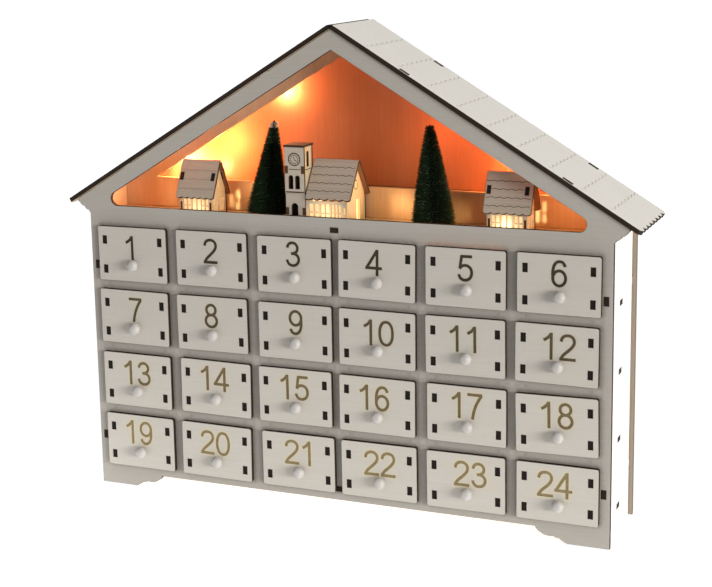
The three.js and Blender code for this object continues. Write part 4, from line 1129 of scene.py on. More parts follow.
def vellum(name, x, z, rx, rz, tint, low, high):
    """Paper behind the small windows, brightest where the lamp stands."""
    t = Tree(name)
    n = t.noise(t.mapped((420, 420, 420)), 1.0, 3.0, 0.6)
    sep = t.node("ShaderNodeSeparateXYZ")
    t.put(sep.inputs[0], t.coords())
    dx = t.math("DIVIDE", t.math("SUBTRACT", sep.outputs[0], x * MM), rx * MM)
    dz = t.math("DIVIDE", t.math("SUBTRACT", sep.outputs[2], z * MM), rz * MM)
    k = t.math("SUBTRACT", 1.0, t.math("ADD", t.math("MULTIPLY", dx, dx), t.math("MULTIPLY", dz, dz)), clamp=True)
    e = t.math("ADD", t.math("MULTIPLY", t.math("MULTIPLY", k, k), high - low), low)
    e = t.math("MULTIPLY", e, t.ramp(n, [(0.3, 0.8), (0.7, 1.0)]))
    return t.finish(color=t.mix(n, (0.50, 0.42, 0.30), (0.60, 0.52, 0.40)), rough=0.85, emission=tint, emit=e, specular=0.1)


COTTAGES[0].update(line=0.30, mark=SCENE_FAINT, lit=0, hot=(-105.0, 199.0, 1.9))
COTTAGES[1].update(lit=1, hot=(112.0, 199.5, 3.6))
NAVE.update(lit=2, hot=(-8.5, 202.0, 1.9))
cottage(COTTAGES[0], 6, 3)
cottage(COTTAGES[1], 6, 4)
cottage(NAVE, 6, 4, church=True)

# tower
x0, x1, y0, y1, tz = TOWER["x0"], TOWER["x1"], TOWER["y0"], TOWER["y1"], TOWER["top"]
xm = (x0 + x1) / 2
z0 = FLOOR + 0.2
ledge = 215.2
clock_z = 238.0
dial = [[circle(xm, clock_z, 4.45, 40), circle(xm, clock_z, 3.7, 40)], [circle(xm, clock_z, 2.75, 32), circle(xm, clock_z, 2.4, 32)],
        ribbon([(xm - 0.2, clock_z - 0.1), (xm + 1.5, clock_z - 1.0)], 0.55), ribbon([(xm + 0.1, clock_z + 0.2), (xm - 0.5, clock_z + 1.6)], 0.55)]
for k in range(12):
    t_ = math.radians(30 * k + 15)
    dial.append(ribbon([(xm + 2.9 * math.cos(t_), clock_z + 2.9 * math.sin(t_)), (xm + 3.55 * math.cos(t_), clock_z + 3.55 * math.sin(t_))], 0.4))
mats = (SCENE, EDGE_SCENE, SCENE_LINE, SCENE)
nz0, nz1, nw = 228.7, 233.6, 2.3
front_up = [(x0, ledge), (x1, ledge), (x1, nz0), (x1 - nw, nz0), (x1 - nw, nz1), (x1, nz1), (x1, tz), (x0, tz), (x0, nz1), (x0 + nw, nz1), (x0 + nw, nz0), (x0, nz0)]
sill = [ribbon([(x0 + 2.9, 231.4), (x1 - 2.9, 231.4)], 0.5), ribbon([(x0 + 0.35, 216.3), (x1 - 0.35, 216.3)], 0.95)]
lights = [arch(xm - 4.25, 218.4, xm - 1.1, 227.4), arch(xm + 0.5, 218.4, xm + 3.65, 227.4)]
tower = ply("tower_front", FRONT(y0), front_up, lights, WT, mats, engrave=[(m, 0.22) for m in dial] + [(m, 0.3) for m in sill], burn=0.4, chamfer=0.08, slot="scene_board")
low_z0, low_z1 = FLOOR + 6.3, FLOOR + 10.9
low_pts = [(x0, z0), (x1, z0), (x1, low_z0), (x1 - 2.1, low_z0), (x1 - 2.1, low_z1), (x1, low_z1), (x1, ledge + 0.4), (x0, ledge + 0.4), (x0, low_z1), (x0 + 2.1, low_z1), (x0 + 2.1, low_z0), (x0, low_z0)]
ply("tower_front_low", FRONT(y0 + 0.75), low_pts, [arch(xm - 2.9, FLOOR + 0.9, xm + 1.7, 208.8)], WT, mats, burn=0.4, chamfer=0.08, slot="scene_board")
for j, sg in enumerate((-1, 1)):      # ends of the side boards' tabs
    xe = x0 if sg < 0 else x1
    ply("tower_tab_%d" % (j + 1), FRONT(y0 + 0.25), rect(min(xe, xe - sg * (nw - 0.1)), nz0 + 0.1, max(xe, xe - sg * (nw - 0.1)), nz1 - 0.1), t=1.3, mats=(TAB_BROWN, TAB_BROWN), burn=0.2, chamfer=0.05, slot="scene_board")
    ply("tower_tab_low_%d" % (j + 1), FRONT(y0 + 0.9), rect(min(xe, xe - sg * 2.0), low_z0 + 0.1, max(xe, xe - sg * 2.0), low_z1 - 0.1), t=1.3, mats=(TAB_BROWN, TAB_BROWN), burn=0.2, chamfer=0.05, slot="scene_board")
ply("tower_back", REAR(y1), mirror(rect(x0, z0, x1, tz)), [mirror(l) for l in lights], WT, mats, burn=0.4, chamfer=0.08, slot="scene_board")
ytm = (y0 + y1) / 2
side = rect(y0 + WT + 0.05, z0, y1 - WT - 0.05, tz)
slit = arch(ytm - 2.2, 232.8, ytm + 1.2, 243.0)
groove = [ribbon([(y0 + WT + 0.4, 231.0), (y1 - WT - 0.4, 231.0)], 0.6)]
# the tower's right side takes the painted warm light
ply("tower_right", RIGHT(x1 - 0.35), side, [slit], WT, (SCENE_SIDE_PAINTED_LIGHT,) + mats[1:], engrave=[(m, 0.2) for m in groove], burn=0.4, chamfer=0.08, slot="scene_board")
ply("tower_left", LEFT(x0 + 0.35), [(-y, z) for y, z in side], [[(-y, z) for y, z in slit]], WT, mats, burn=0.4, chamfer=0.08, slot="scene_board")
# the cap's top face takes the painted shade
ply("tower_cap", TOP(tz + 1.5), [(x0 - 0.15, y0 - 1), (x1 + 0.1, y0 - 1), (x1 + 0.1, y1 + 1), (x0 - 0.15, y1 + 1)], t=1.45, mats=(SCENE_PAINTED_SHADE, EDGE_SCENE, EDGE_SCENE, SCENE), burn=0.5, chamfer=0.1, slot="scene_board")
# a near-black sheet inside the tower, behind its front: painted shade for the dark inside
SHADE_SHEET = burnt("painted_shade_recess", (0.035, 0.020, 0.012), (0.018, 0.010, 0.006))
ply("tower_shade_board", FRONT(y0 + 3.6), rect(x0 + 2.2, FLOOR + 0.4, x1 - 2.2, 230.0), t=0.8, mats=(SHADE_SHEET, SHADE_SHEET), burn=0.2, chamfer=0.05, slot="scene_board")
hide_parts("church_tower")


# ------------------------------------------------------------------ bottle-brush trees
def needle_mat():
    t = Tree("tree_bristle")
    tip, tone = t.attr("tip"), t.attr("tone")
    c = t.mix(tone, (0.005, 0.013, 0.005), (0.017, 0.038, 0.014))
    # lighter green towards the bristle tips: painted highlight
    c = t.mix(t.ramp(tip, [(0.55, 0.0), (1.0, 0.45)]), c, (0.040, 0.076, 0.030))
    c = t.mix(t.attr("frost"), c, (0.74, 0.66, 0.50))
    return t.finish(color=c, rough=0.8, specular=0.14)


# the near-black inner mass of each tree: painted shade deep in the brush
def core_mat():
    t = Tree("tree_core_painted_shade")
    n = t.noise(t.mapped((300, 300, 1400)), 1.0, 2.0)
    return t.finish(color=t.mix(n, (0.003, 0.006, 0.003), (0.009, 0.015, 0.007)), rough=0.9, normal=t.bump(n, 0.0003, 0.8), specular=0.08)


def base_mat():
    t = Tree("tree_base_wood")
    n = t.noise(t.mapped((40, 700, 700)), 1.0, 3.0)
    return t.finish(color=t.mix(n, (0.16, 0.085, 0.035), (0.30, 0.18, 0.08)), rough=0.6, normal=t.bump(n, 0.00008, 0.6))


NEEDLE, SHADE_CORE, BASE = needle_mat(), core_mat(), base_mat()


def brush(t):
    rnd = random.Random(t["seed"])
    R, H = t["r"], t["h"]
    base = Vector((t["x"], Y0 + t["y"], FLOOR + 0.2))
    shift = lambda z: max(0.0, z - 4) * t["lean"]
    profile = lambda k: (R * (1 - k) ** t["bulge"] + 1.9 * k) * (1.0 if k > 0.04 else 0.97 + 0.75 * k) * (1.0 if k < 0.975 else 1 - 14 * (k - 0.975))
    verts, faces, tip, tone, frost = [], [], [], [], []
    n = 11500
    for i in range(n):
        u = (i + 0.5) / n
        z = 2.7 + (H - 4.0) * (1 - (1 - u * 0.994) ** 0.56)
        k = (z - 2.7) / (H - 4.0)
        reach = profile(k)
        reach *= rnd.uniform(0.86, 1.0) if rnd.random() < 0.9 else rnd.uniform(0.98, 1.05)
        reach = min(reach, R + 0.1)
        a = i * 2.399963 + rnd.uniform(-0.25, 0.25)
        rise = rnd.uniform(-0.10, 0.30) * (1 - 0.3 * k) if k > 0.03 else rnd.uniform(-0.13, 0.12)
        d = Vector((math.cos(a), math.sin(a), rise)).normalized()
        o = base + Vector((shift(z), 0, z)) + Vector((math.cos(a), math.sin(a), 0)) * 0.4
        L = reach - 0.4
        topz = H + 0.0 - z
        if d.z * L > topz:
            L = max(0.8, topz / max(d.z, 1e-3))
        e = o + d * L + Vector((0, 0, rnd.uniform(-0.35, 0.35)))
        e.z = max(min(e.z, base.z + H - 0.1), base.z + 0.4)
        side_v = d.cross(Vector((rnd.uniform(-1, 1), rnd.uniform(-1, 1), rnd.uniform(-1, 1)))).normalized()
        up_v = d.cross(side_v).normalized()
        w = rnd.uniform(0.13, 0.20)
        q = len(verts)
        m = o.lerp(e, 0.55) + Vector((0, 0, -0.25 * rnd.random()))
        for p, ww, tt in ((o, w * 0.9, 0.0), (m, w, 0.5)):
            for ang3 in (0, 2.094, 4.189):
                verts.append(tuple((p + (side_v * math.cos(ang3) + up_v * math.sin(ang3)) * ww) * MM))
                tip.append(tt)
        for ang3 in (0, 2.094, 4.189):
            verts.append(tuple((e + (side_v * math.cos(ang3) + up_v * math.sin(ang3)) * w * 0.35) * MM))
            tip.append(1.0)
        for s_ in (0, 3):
            for j in range(3):
                j2 = (j + 1) % 3
                faces.append((q + s_ + j, q + s_ + j2, q + s_ + 3 + j2, q + s_ + 3 + j))
        faces.append((q + 6, q + 7, q + 8))
        tn = rnd.random() ** 1.5
        fr = 1.0 if k > t["white"] and rnd.random() < 0.9 else (0.5 if rnd.random() < 0.02 else 0.0)
        tone += [tn] * 9
        frost += [0.0] * 3 + [fr * 0.5] * 3 + [fr] * 3
    me = bpy.data.meshes.new(t["name"] + "_bristles")
    me.from_pydata(verts, [], faces)
    for key, val in (("tip", tip), ("tone", tone), ("frost", frost)):
        at = me.attributes.new(key, "FLOAT", "POINT")
        at.data.foreach_set("value", np.array(val, np.float32))
    me.materials.append(NEEDLE)
    o = link(t["name"] + "_bristles", me)
    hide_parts(t["name"])
    # dark inner mass: painted shade that keeps the brush dark between its bristles
    prof = [(0.9, 1.8), (1.2, 2.6), (R * 0.7, 3.2), (R * 0.68, 8.0)] + [(profile((z_ - 2.7) / (H - 4.0)) * w_, z_) for z_, w_ in ((20.0, 0.66), (32.0, 0.62), (44.0, 0.56), (54.0, 0.48), (H - 7.0, 0.36))] + [(0.4, H - 4.4), (0.0, H - 4.0)]
    core = lathe(t["name"] + "_core", prof, (base.x, base.y, base.z), (0, 0, 1), 20, SHADE_CORE)
    for v_ in core.data.vertices:
        v_.co.x += shift(v_.co.z / MM - base.z) * MM
    disc = lathe(t["name"] + "_base", [(0, 0.0), (4.6, 0.0), (5.0, 0.3), (5.0, 1.1), (4.6, 1.4), (1.4, 1.5), (1.2, 2.2), (0, 2.2)], (base.x, base.y, base.z), (0, 0, 1), 28, BASE, smooth=False)
    return o


for t_ in TREES:
    brush(t_)


# ------------------------------------------------------------------ battery box, cover, switch, cells: CAD shapes with eased edges
def plastic(name, color, rough, scale=2600.0):
    t = Tree(name)
    n = t.noise(t.coords(), scale, 2.0, 0.5)
    m = t.noise(t.coords(), 60.0, 2.0, 0.5)
    c = t.mix(t.ramp(m, [(0.3, 0.0), (0.7, 1.0)]), tuple(x * 0.85 for x in color), tuple(min(1, x * 1.25 + 0.004) for x in color))
    return t.finish(color=c, rough=t.ramp(m, [(0.2, rough - 0.07), (0.8, rough + 0.08)]), normal=t.bump(n, 0.00005, 0.35), specular=0.45)


BLACK = plastic("moulded_black", (0.018, 0.018, 0.019), 0.46)
SWITCH = plastic("switch_grey", (0.09, 0.09, 0.095), 0.4)


def cell_mat():
    t = Tree("cell_case")
    sep = t.node("ShaderNodeSeparateXYZ")
    t.put(sep.inputs[0], t.coords())
    band = t.noise(t.mapped((3, 900, 900)), 1.0, 2.0)
    c = t.mix(t.ramp(band, [(0.3, 0.0), (0.7, 1.0)]), (0.42, 0.42, 0.44), (0.56, 0.56, 0.58))
    return t.finish(color=c, rough=0.34, metal=0.9, normal=t.bump(band, 0.00002, 0.4))


CELL = cell_mat()


def dress(node, mat, width=0.25, segments=2):
    o = NODES[node]
    o.data.materials.clear()
    o.data.materials.append(mat)
    if width:
        m = o.modifiers.new("eased", "BEVEL")
        m.width = width * MM
        m.segments = segments
        m.limit_method = "ANGLE"
        m.angle_limit = math.radians(40)
        m.use_clamp_overlap = True
    return o


dress("battery_box", BLACK, 0.35)
dress("battery_cover", BLACK, 0.2)
dress("switch_slider", SWITCH, 0.2)
CELL_PROFILE = [(0, -25.2), (5.4, -25.2), (6.2, -25.0), (6.75, -24.4), (6.9, -23.8), (6.9, 22.4), (6.75, 22.9), (6.2, 23.2), (3.2, 23.25), (2.7, 23.3), (2.7, 24.7), (2.5, 24.9), (0, 24.9)]
zc, yc = (BOX["z0"] + BOX["z1"]) / 2, Y0 + BOX["y0"] + 1.5 + 7.4
for i, x in ((1, BOX["x0"] + 1.5 + 26.2), (2, BOX["x0"] + 1.5 + 78.2)):
    o = lathe("cell_%d" % i, CELL_PROFILE, (x, yc, zc), (1, 0, 0), 36, CELL)
    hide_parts("battery_%d" % i)


# ------------------------------------------------------------------ light string
def wire_mat():
    t = Tree("wire_clear_green")
    n = t.noise(t.mapped((500, 500, 500)), 1.0, 2.0)
    return t.finish(color=t.mix(n, (0.045, 0.060, 0.022), (0.085, 0.105, 0.045)), rough=0.38, normal=t.bump(n, 0.0001, 0.4), specular=0.5)


def lamp_mat():
    t = Tree("lamp_warm")
    lw = t.node("ShaderNodeLayerWeight")
    lw.inputs["Blend"].default_value = 0.35
    c = t.ramp(lw.outputs["Facing"], [(0.0, (1.0, 0.78, 0.40)), (0.6, (1.0, 0.56, 0.18)), (1.0, (0.9, 0.36, 0.08))])
    return t.finish(color=(1.0, 0.72, 0.38), rough=0.18, emission=c, emit=9.0)


WIRE, LAMP = wire_mat(), lamp_mat()
COPPER = plastic("wire_tie", (0.55, 0.50, 0.42), 0.35)
low = FLOOR + 3.6
way = [(BOX["x1"] + 0.4, WY + 9, 205), (78, WY + 8, 204.6), (86, WY + 3, 202), (94, WY, low + 0.4), (106, WY, low), (122, WY, low), (142, WY, low + 0.6), (155, WY, low + 4), (161.5, WY, 209),
       (160, WY, 216)] + [(x, WY, band_z(x)) for x in (150, 134, 118, 90, 60, 30, 12)] + [(0, WY, band_z(0) - 2), (-12, WY, band_z(12)), (-30, WY, band_z(30)),
       (-56.5, WY, band_z(56.5)), (-90, WY, band_z(90)), (-120, WY, band_z(120)), (-146, WY, band_z(146)), (-160, WY, 217), (-161.5, WY, 209), (-155, WY, low + 4),
       (-142, WY, low + 0.6), (-122, WY, low), (-90, WY, low), (-50, WY, low), (-8, WY, low), (20, WY, low), (48, WY, low)]
way = [(x, Y0 + y, z) for x, y, z in way]
wire = tube("light_wire", catmull(way, 9), WIRE_R, WIRE, bevel_res=4)
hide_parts("led_wire")
for i, x in enumerate((134.0, 78.0, 28.0, -34.0, -104.0)):     # adhesive pads that hold the wire to the baffle
    z = band_z(x)
    slope_dir = Vector((1, 0, -0.607 if x > 0 else 0.607)).normalized()
    ply("wire_pad_%d" % (i + 1), (Vector((x, Y0 + WY + 1.1, z)), -slope_dir, Vector((slope_dir.z, 0, -slope_dir.x)) * -1, Vector((0, -1, 0))),
        round_rect(-3, -2.6, 3, 2.6, 0.8, 3), t=0.9, mats=(COPPER, COPPER), burn=0, chamfer=0.15, slot="wire")

BULB = smooth_profile([(2.45, 1.0), (2.4, 3.2), (2.38, 5.2), (2.0, 6.6), (1.2, 7.55), (0.0, 8.0)], 5)
COLLAR = [(0, 0), (2.7, 0), (2.8, 0.15), (2.8, 0.85), (2.7, 1.0), (2.2, 1.05), (0, 1.05)]


def lamp(node, x, y, z, direction, lead=None):
    o = lathe(node + "_bulb", BULB, (x, Y0 + y, z), direction, 24, LAMP)
    lathe(node + "_collar", COLLAR, (x, Y0 + y, z), direction, 24, BLACK, smooth=False)
    if lead:
        pts = [(x, Y0 + y, z + 0.4), (x, Y0 + y + 2.5, FLOOR + 1.6), (x, Y0 + y + 6, FLOOR + 1.6), (x, Y0 + lead, FLOOR + 1.6)]
        tube(node + "_lead", catmull(pts, 6), WIRE_R, WIRE, bevel_res=3)
    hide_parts(node)


lamp("lamp_cottage_left", LEAD_X[0], 20, FLOOR + 1.2, (0, 0, 1), WY + 0.7)
lamp("lamp_church", LEAD_X[1], 22, FLOOR + 1.2, (0, 0, 1), WY + 0.7)
lamp("lamp_tree", LEAD_X[2], 35.6, FLOOR + 1.2, (0, 0, 1), WY + 0.7)
lamp("lamp_cottage_right", LEAD_X[3], 19, FLOOR + 1.2, (0, 0, 1), WY + 0.7)
for i, x in enumerate(LAMP_X):
    lamp("lamp_back_%d" % (i + 1), x, WY + 1.1, band_z(x), (0, 1, 0))


# ------------------------------------------------------------------ drawers
def knob_mat():
    t = Tree("knob_paint")
    n = t.noise(t.coords(), 700.0, 3.0, 0.6)
    m = t.noise(t.coords(), 150.0, 2.0, 0.5)
    c = t.mix(t.ramp(m, [(0.3, 0.0), (0.75, 1.0)]), (0.45, 0.428, 0.400), (0.505, 0.482, 0.45))
    return t.finish(color=c, rough=t.ramp(n, [(0.3, 0.40), (0.7, 0.52)]), normal=t.bump(n, 0.00008, 0.4), specular=0.5, sss=0.0)


KNOB = knob_mat()
KNOB_PROFILE = smooth_profile([(2.35, -0.05), (2.4, 0.45), (KNOB_R * 0.80, 0.95), (KNOB_R * 0.985, 2.3), (KNOB_R * 0.97, 3.7), (KNOB_R * 0.80, 5.2), (KNOB_R * 0.45, 6.1), (0.0, KNOB_OUT)], 5)
plate = round_rect(-FRONT_W / 2, PLATE_UP - FRONT_H / 2, FRONT_W / 2, PLATE_UP + FRONT_H / 2, FRONT_R, 5)
TAB_Z = 10.25
grid = np.array([(x, z) for x in np.arange(-15, 15.01, 0.8) for z in np.arange(-5.5, 19.01, 0.8)])
# where the laser put each number: right of and above its usual place
MARKS = ((-1.40, -1.06), (-0.76, 0.23), (-0.87, 2.30), (-2.15, 0.17), (-0.19, 0.93), (-0.21, 1.48),
         (0.60, -0.04), (-1.00, 0.20), (0.24, 1.04), (0.19, -1.05), (-0.72, -0.40), (0.94, -0.20),
         (-0.90, -0.24), (-1.90, 1.02), (-1.15, 0.76), (-2.65, -0.27), (-0.28, 0.91), (-0.52, 1.00),
         (-1.90, 0.95), (-1.41, 0.28), (0.85, 0.67), (0.42, -0.18), (2.85, 0.24), (-2.15, 0.36))
# how each drawer sits in its opening: to the right, up, and turned in degrees
PLAY = ((0.05, -0.24, 0.22), (0.72, 0.28, 0.22), (0.79, 0.04, 0.05), (0.40, 0.18, -0.72), (0.22, -0.13, -0.19), (0.46, -0.06, -0.11),
        (-0.32, 0.05, -0.16), (-0.26, 0.23, 0.41), (0.38, -0.09, 0.00), (0.13, -0.17, -0.24), (-0.13, 0.11, 0.35), (-0.58, 0.17, -0.40),
        (-0.16, -0.15, -0.11), (0.80, 0.36, -0.50), (-0.62, 0.25, 0.23), (-0.51, -0.14, -0.21), (0.60, 0.03, -0.03), (-0.10, -0.36, 0.95),
        (0.23, 0.21, -0.07), (-0.19, 0.04, -0.48), (0.62, 0.06, 0.21), (0.24, -0.02, 0.23), (0.05, -0.09, 0.32), (0.51, -0.27, -0.04))


for n in range(1, 25):
    r, c = (n - 1) // 6, (n - 1) % 6
    cx, cz = column_x(c), row_z(r)
    body = "drawer_%02d" % n
    pre = "drawer_%02d_" % n
    loops, sdf = number_marks(n, *MARKS[n - 1])
    d = sdf(grid)
    extra = [tuple(p) for p in grid[(d > 0.35) & (d < 3.4)]]
    halo = lambda p, f=sdf: np.where(f(p) < 0.0, 0.9, 0.85 * np.exp(-(np.maximum(f(p), 0) / 1.15) ** 1.4))
    slots = [rect(sx * 21.46 - 1.6, sz * TAB_Z - 2.85, sx * 21.46 + 1.6, sz * TAB_Z + 2.85) for sx in (-1, 1) for sz in (-1, 1)]
    play_x, play_z, turn = PLAY[n - 1]
    turn = math.radians(turn)
    seat = Matrix.Translation((cx + play_x, 0, cz + play_z)) @ Matrix.Rotation(-turn, 4, "Y")
    move = lambda q: (seat @ q[0], *(seat.to_3x3() @ v for v in q[1:]))
    at = move((Vector((0, Y0 - 3.2, 0)), Vector((1, 0, 0)), Vector((0, 0, 1)), Vector((0, 1, 0))))
    front = ply(pre + "front", at, plate, slots, mats=(DRAWERS[r], EDGE, DIGITS[r], TRAY), engrave=[(loops, 0.3)], extra=extra, halo=halo, burn=0.4, body=body, slot="drawer_board")
    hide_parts(body)
    lathe(pre + "knob", KNOB_PROFILE, seat @ Vector((KNOB_DX, Y0 - 3.2, -KNOB_DROP)), (0, -1, 0), 28, KNOB, body=body)
    # tray: sides with tabs through the front, fingers at the bottom and the back
    w, h = TRAY_W / 2, TRAY_H / 2
    side_pts = [(-0.1, -h), (12, -h), (12, -h + T), (20, -h + T), (20, -h), (36, -h), (36, -h + T), (44, -h + T), (44, -h), (TRAY_L, -h),
                (TRAY_L, -4.5), (TRAY_L - T, -4.5), (TRAY_L - T, 4.5), (TRAY_L, 4.5), (TRAY_L, h), (-0.1, h),
                (-0.1, TAB_Z + 2.7), (-2.75, TAB_Z + 2.7), (-2.75, TAB_Z - 2.7), (-0.1, TAB_Z - 2.7), (-0.1, -TAB_Z + 2.7), (-2.75, -TAB_Z + 2.7), (-2.75, -TAB_Z - 2.7), (-0.1, -TAB_Z - 2.7)]
    tray_mats = (TRAY, TAB_END, EDGE, TRAY)
    for sx in (-1, 1):
        ply(pre + ("side_right" if sx > 0 else "side_left"), move(RIGHT(w) if sx > 0 else LEFT(-w)), side_pts if sx > 0 else [(-y, z) for y, z in side_pts], mats=tray_mats, burn=0.4, body=body, slot="drawer_board")
    e = w - 0.05
    bottom = [(-20, 0.0), (20, 0.0), (20, 12.05), (e, 12.05), (e, 19.95), (20, 19.95), (20, 36.05), (e, 36.05), (e, 43.95), (20, 43.95), (20, TRAY_L - T - 0.02),
              (-20, TRAY_L - T - 0.02), (-20, 43.95), (-e, 43.95), (-e, 36.05), (-20, 36.05), (-20, 19.95), (-e, 19.95), (-e, 12.05), (-20, 12.05)]
    ply(pre + "bottom", move(TOP(-h + T)), bottom, mats=tray_mats, burn=0.4, body=body, slot="drawer_board")
    back = [(-20, -h), (20, -h), (20, -4.45), (e, -4.45), (e, 4.45), (20, 4.45), (20, h), (-20, h), (-20, 4.45), (-e, 4.45), (-e, -4.45), (-20, -4.45)]
    ply(pre + "back", move(REAR(TRAY_L)), back, mats=tray_mats, burn=0.4, body=body, slot="drawer_board")


# ------------------------------------------------------------------ floor, light, background
def stage_mat():
    """White paper sweep, lit from behind round the object."""
    t = Tree("studio_floor")
    n = t.noise(t.coords(), 3.0, 2.0)
    sep = t.node("ShaderNodeSeparateXYZ")
    t.put(sep.inputs[0], t.coords())
    m = t.node("ShaderNodeMapRange", interpolation_type="SMOOTHSTEP")
    for i, v in enumerate((-0.45, -0.12, 0.06, FLOOR_GLOW)):
        m.inputs[i + 1].default_value = v
    t.put(m.inputs[0], sep.outputs[1])
    # the paper looks evenly bright all round, and lights the object only from where it does in the photo
    seen = t.math("MULTIPLY", t.node("ShaderNodeLightPath").outputs["Is Camera Ray"], FLOOR_GLOW)
    return t.finish(color=t.mix(n, (0.55, 0.55, 0.548), (0.57, 0.57, 0.568)), rough=0.95, specular=0.0, emission=t.mix(n, (1.0, 1.0, 1.0), (0.985, 0.99, 1.0)), emit=t.math("MAXIMUM", m.outputs[0], seen))


FLOOR_GLOW = 0.86
me = bpy.data.meshes.new("studio_floor")
me.from_pydata([(-9, -5, -0.0004), (9, -5, -0.0004), (9, 12, -0.0004), (-9, 12, -0.0004)], [], [(0, 1, 2, 3)])
me.materials.append(stage_mat())
floor = bpy.data.objects.new("studio_floor", me)
scene.collection.objects.link(floor)
floor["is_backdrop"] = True

world = bpy.data.worlds.new("studio")
scene.world = world
world.use_nodes = True
nt = world.node_tree
nt.nodes.clear()
wo = nt.nodes.new("ShaderNodeOutputWorld")
mixs = nt.nodes.new("ShaderNodeMixShader")
lp = nt.nodes.new("ShaderNodeLightPath")
b1, b2 = nt.nodes.new("ShaderNodeBackground"), nt.nodes.new("ShaderNodeBackground")
co = nt.nodes.new("ShaderNodeTexCoord")
sp = nt.nodes.new("ShaderNodeSeparateXYZ")
ms = [nt.nodes.new("ShaderNodeMath") for _ in range(4)]
for m_, op in zip(ms, ("MAXIMUM", "POWER", "MULTIPLY", "ADD")):
    m_.operation = op
nt.links.new(co.outputs["Generated"], sp.inputs[0])
nt.links.new(sp.outputs[2], ms[0].inputs[0])
ms[0].inputs[1].default_value = 0.0
for a_, b_, v in zip(ms, ms[1:], (2.0, 0.60, 0.03)):
    nt.links.new(a_.outputs[0], b_.inputs[0])
    b_.inputs[1].default_value = v
b1.inputs[0].default_value = (0.98, 0.99, 1.0, 1)
nt.links.new(ms[3].outputs[0], b1.inputs[1])
b2.inputs[0].default_value, b2.inputs[1].default_value = (1, 1, 1, 1), 1.15
nt.links.new(lp.outputs["Is Camera Ray"], mixs.inputs[0])
nt.links.new(b1.outputs[0], mixs.inputs[1])
nt.links.new(b2.outputs[0], mixs.inputs[2])
nt.links.new(mixs.outputs[0], wo.inputs[0])


def area_light(name, loc, target, size, power, color=(1, 1, 1), size_y=None, camera_sees=False):
    d = bpy.data.lights.new(name, "AREA")
    d.energy, d.color, d.size = power, color, size
    if size_y:
        d.shape, d.size_y = "RECTANGLE", size_y
    o = bpy.data.objects.new(name, d)
    o.location = loc
    o.rotation_mode = "QUATERNION"
    o.rotation_quaternion = (Vector(target) - Vector(loc)).to_track_quat("-Z", "Y")
    scene.collection.objects.link(o)
    o.visible_camera = camera_sees
    return o


area_light("key_right", (4.57, -2.03, 0.35), (0, 0, 0.15), 2.7, 366.0, (1.0, 0.985, 0.965), 1.7)
area_light("fill_left", (-1.35, -1.75, 0.25), (-0.05, 0, 0.10), 1.2, 6.8, (1.0, 0.985, 0.97), 0.9)
area_light("floor_bounce", (-0.205, -0.080, 0.004), (-0.166, -0.03, 0.004), 0.05, 0.009, (1.0, 1.0, 1.0), 0.03)


def glow(name, loc, power, color=(1.0, 0.46, 0.13), radius=2.0):
    d = bpy.data.lights.new(name, "POINT")
    d.energy, d.color, d.shadow_soft_size = power, color, radius * MM
    o = bpy.data.objects.new(name, d)
    o.location = Vector(loc) * MM
    scene.collection.objects.link(o)
    o.visible_camera = False
    return o


ORANGE = (1.0, 0.37, 0.12)
for i, (x, y, z, p) in enumerate(((-60.5, 13.0, band_z(60.5), 0.080), (-135.0, 8.0, 227.0, 0.23), (118.0, 10.5, band_z(118), 0.32))):
    glow("glow_back_%d" % (i + 1), (x, Y0 + WY + y, z), p, ORANGE)
glow("glow_cottage_left", (LEAD_X[0], Y0 + 20, FLOOR + 10.3), 0.074, (1.0, 0.66, 0.32), 1.0)
glow("glow_church", (LEAD_X[1], Y0 + 22, FLOOR + 10.3), 0.042, (1.0, 0.66, 0.32), 1.0)
glow("glow_tree", (LEAD_X[2] - 14.0, Y0 + 32.0, FLOOR + 11.5), 0.005, (1.0, 0.60, 0.27), 1.6)
glow("glow_cottage_right", (LEAD_X[3], Y0 + 19, FLOOR + 10.3), 0.095, (1.0, 0.68, 0.34), 1.0)
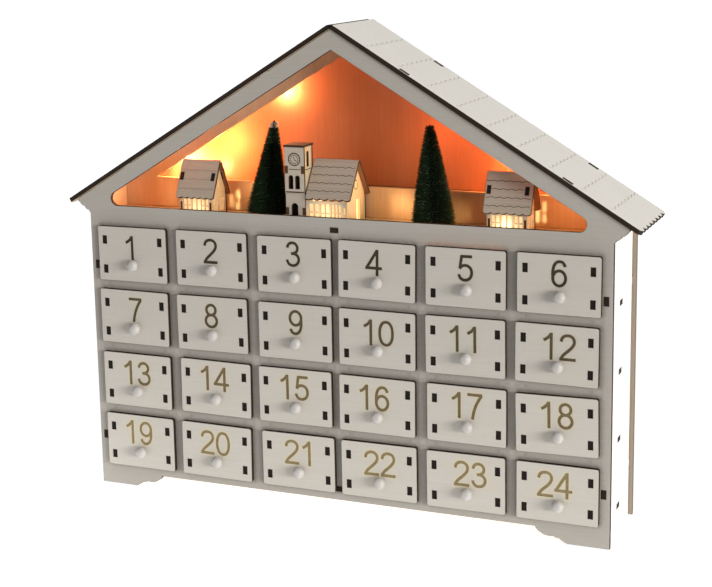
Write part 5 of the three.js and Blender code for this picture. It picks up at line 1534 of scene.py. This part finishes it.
# the two rooms' own warm light, as bounced between their boards
for i, (x, y, z, p, c) in enumerate(((-142, 22, 214, 0.009, (1.0, 0.50, 0.23)), (-76, 30, 214, 0.008, (1.0, 0.62, 0.30)), (23, 17, 220, 0.0100, (1.0, 0.74, 0.36)), (146, 20, 214, 0.016, (1.0, 0.45, 0.18)),
                                     (-104, WY + 5, 241, 0.115, ORANGE), (52, WY + 2, 252, 0.0165, (1.0, 0.27, 0.080)), (105, WY + 11.5, 231, 0.024, ORANGE))):
    glow("bounce_%d" % (i + 1), (x, Y0 + y, z), p, c, 6.0)
# the lamps' own hot spots on the back wall
for i, (x, z, p) in enumerate(((-61.0, 275.0, 0.017), (-140.0, 223.6, 0.022), (-111.0, 222.6, 0.010))):
    glow("core_%d" % (i + 1), (x, Y0 + BACK_Y - 5.5, z), p, (1.0, 0.82, 0.58), 1.5)
# light from the small windows, where it falls on the baffle behind
for i, (x, z, w, h, p) in enumerate(((-94.6, 201.5, 2.4, 8.0, 1.1), (-89.3, 206.8, 2.6, 5.0, 2.2), (-89.8, 198.2, 2.8, 4.4, 2.0), (124.8, 203.4, 2.9, 9.6, 2.3), (129.4, 201.4, 2.5, 5.4, 2.0), (129.4, 208.8, 2.5, 6.6, 2.0), (27.6, 204.5, 5.0, 14.0, 0.25))):
    area_light("pane_%d" % (i + 1), (x * MM, (Y0 + BAFFLE_Y - 0.7) * MM, z * MM), (x * MM, (Y0 + BAFFLE_Y) * MM, z * MM), w * MM, p * math.pi * w * h * 1e-6, (1.0, 0.84, 0.44), h * MM)
# light that leaks out over the drawer under the right tree
leak = area_light("leak", (0.089, (Y0 - 1.9) * MM, 0.1875), (0.089, (Y0 + 0.6) * MM, 0.1905), 0.050, 0.0006, (1.0, 0.36, 0.12), 0.0012)

scene.view_settings.view_transform = "Standard"
scene.view_settings.look = "None"
scene.view_settings.exposure = 0.0
scene.view_settings.gamma = 1.0
scene.cycles.max_bounces = 10
scene.cycles.diffuse_bounces = 6
scene.cycles.sample_clamp_indirect = 4.0
scene.cycles.use_adaptive_sampling = True

lo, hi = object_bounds()
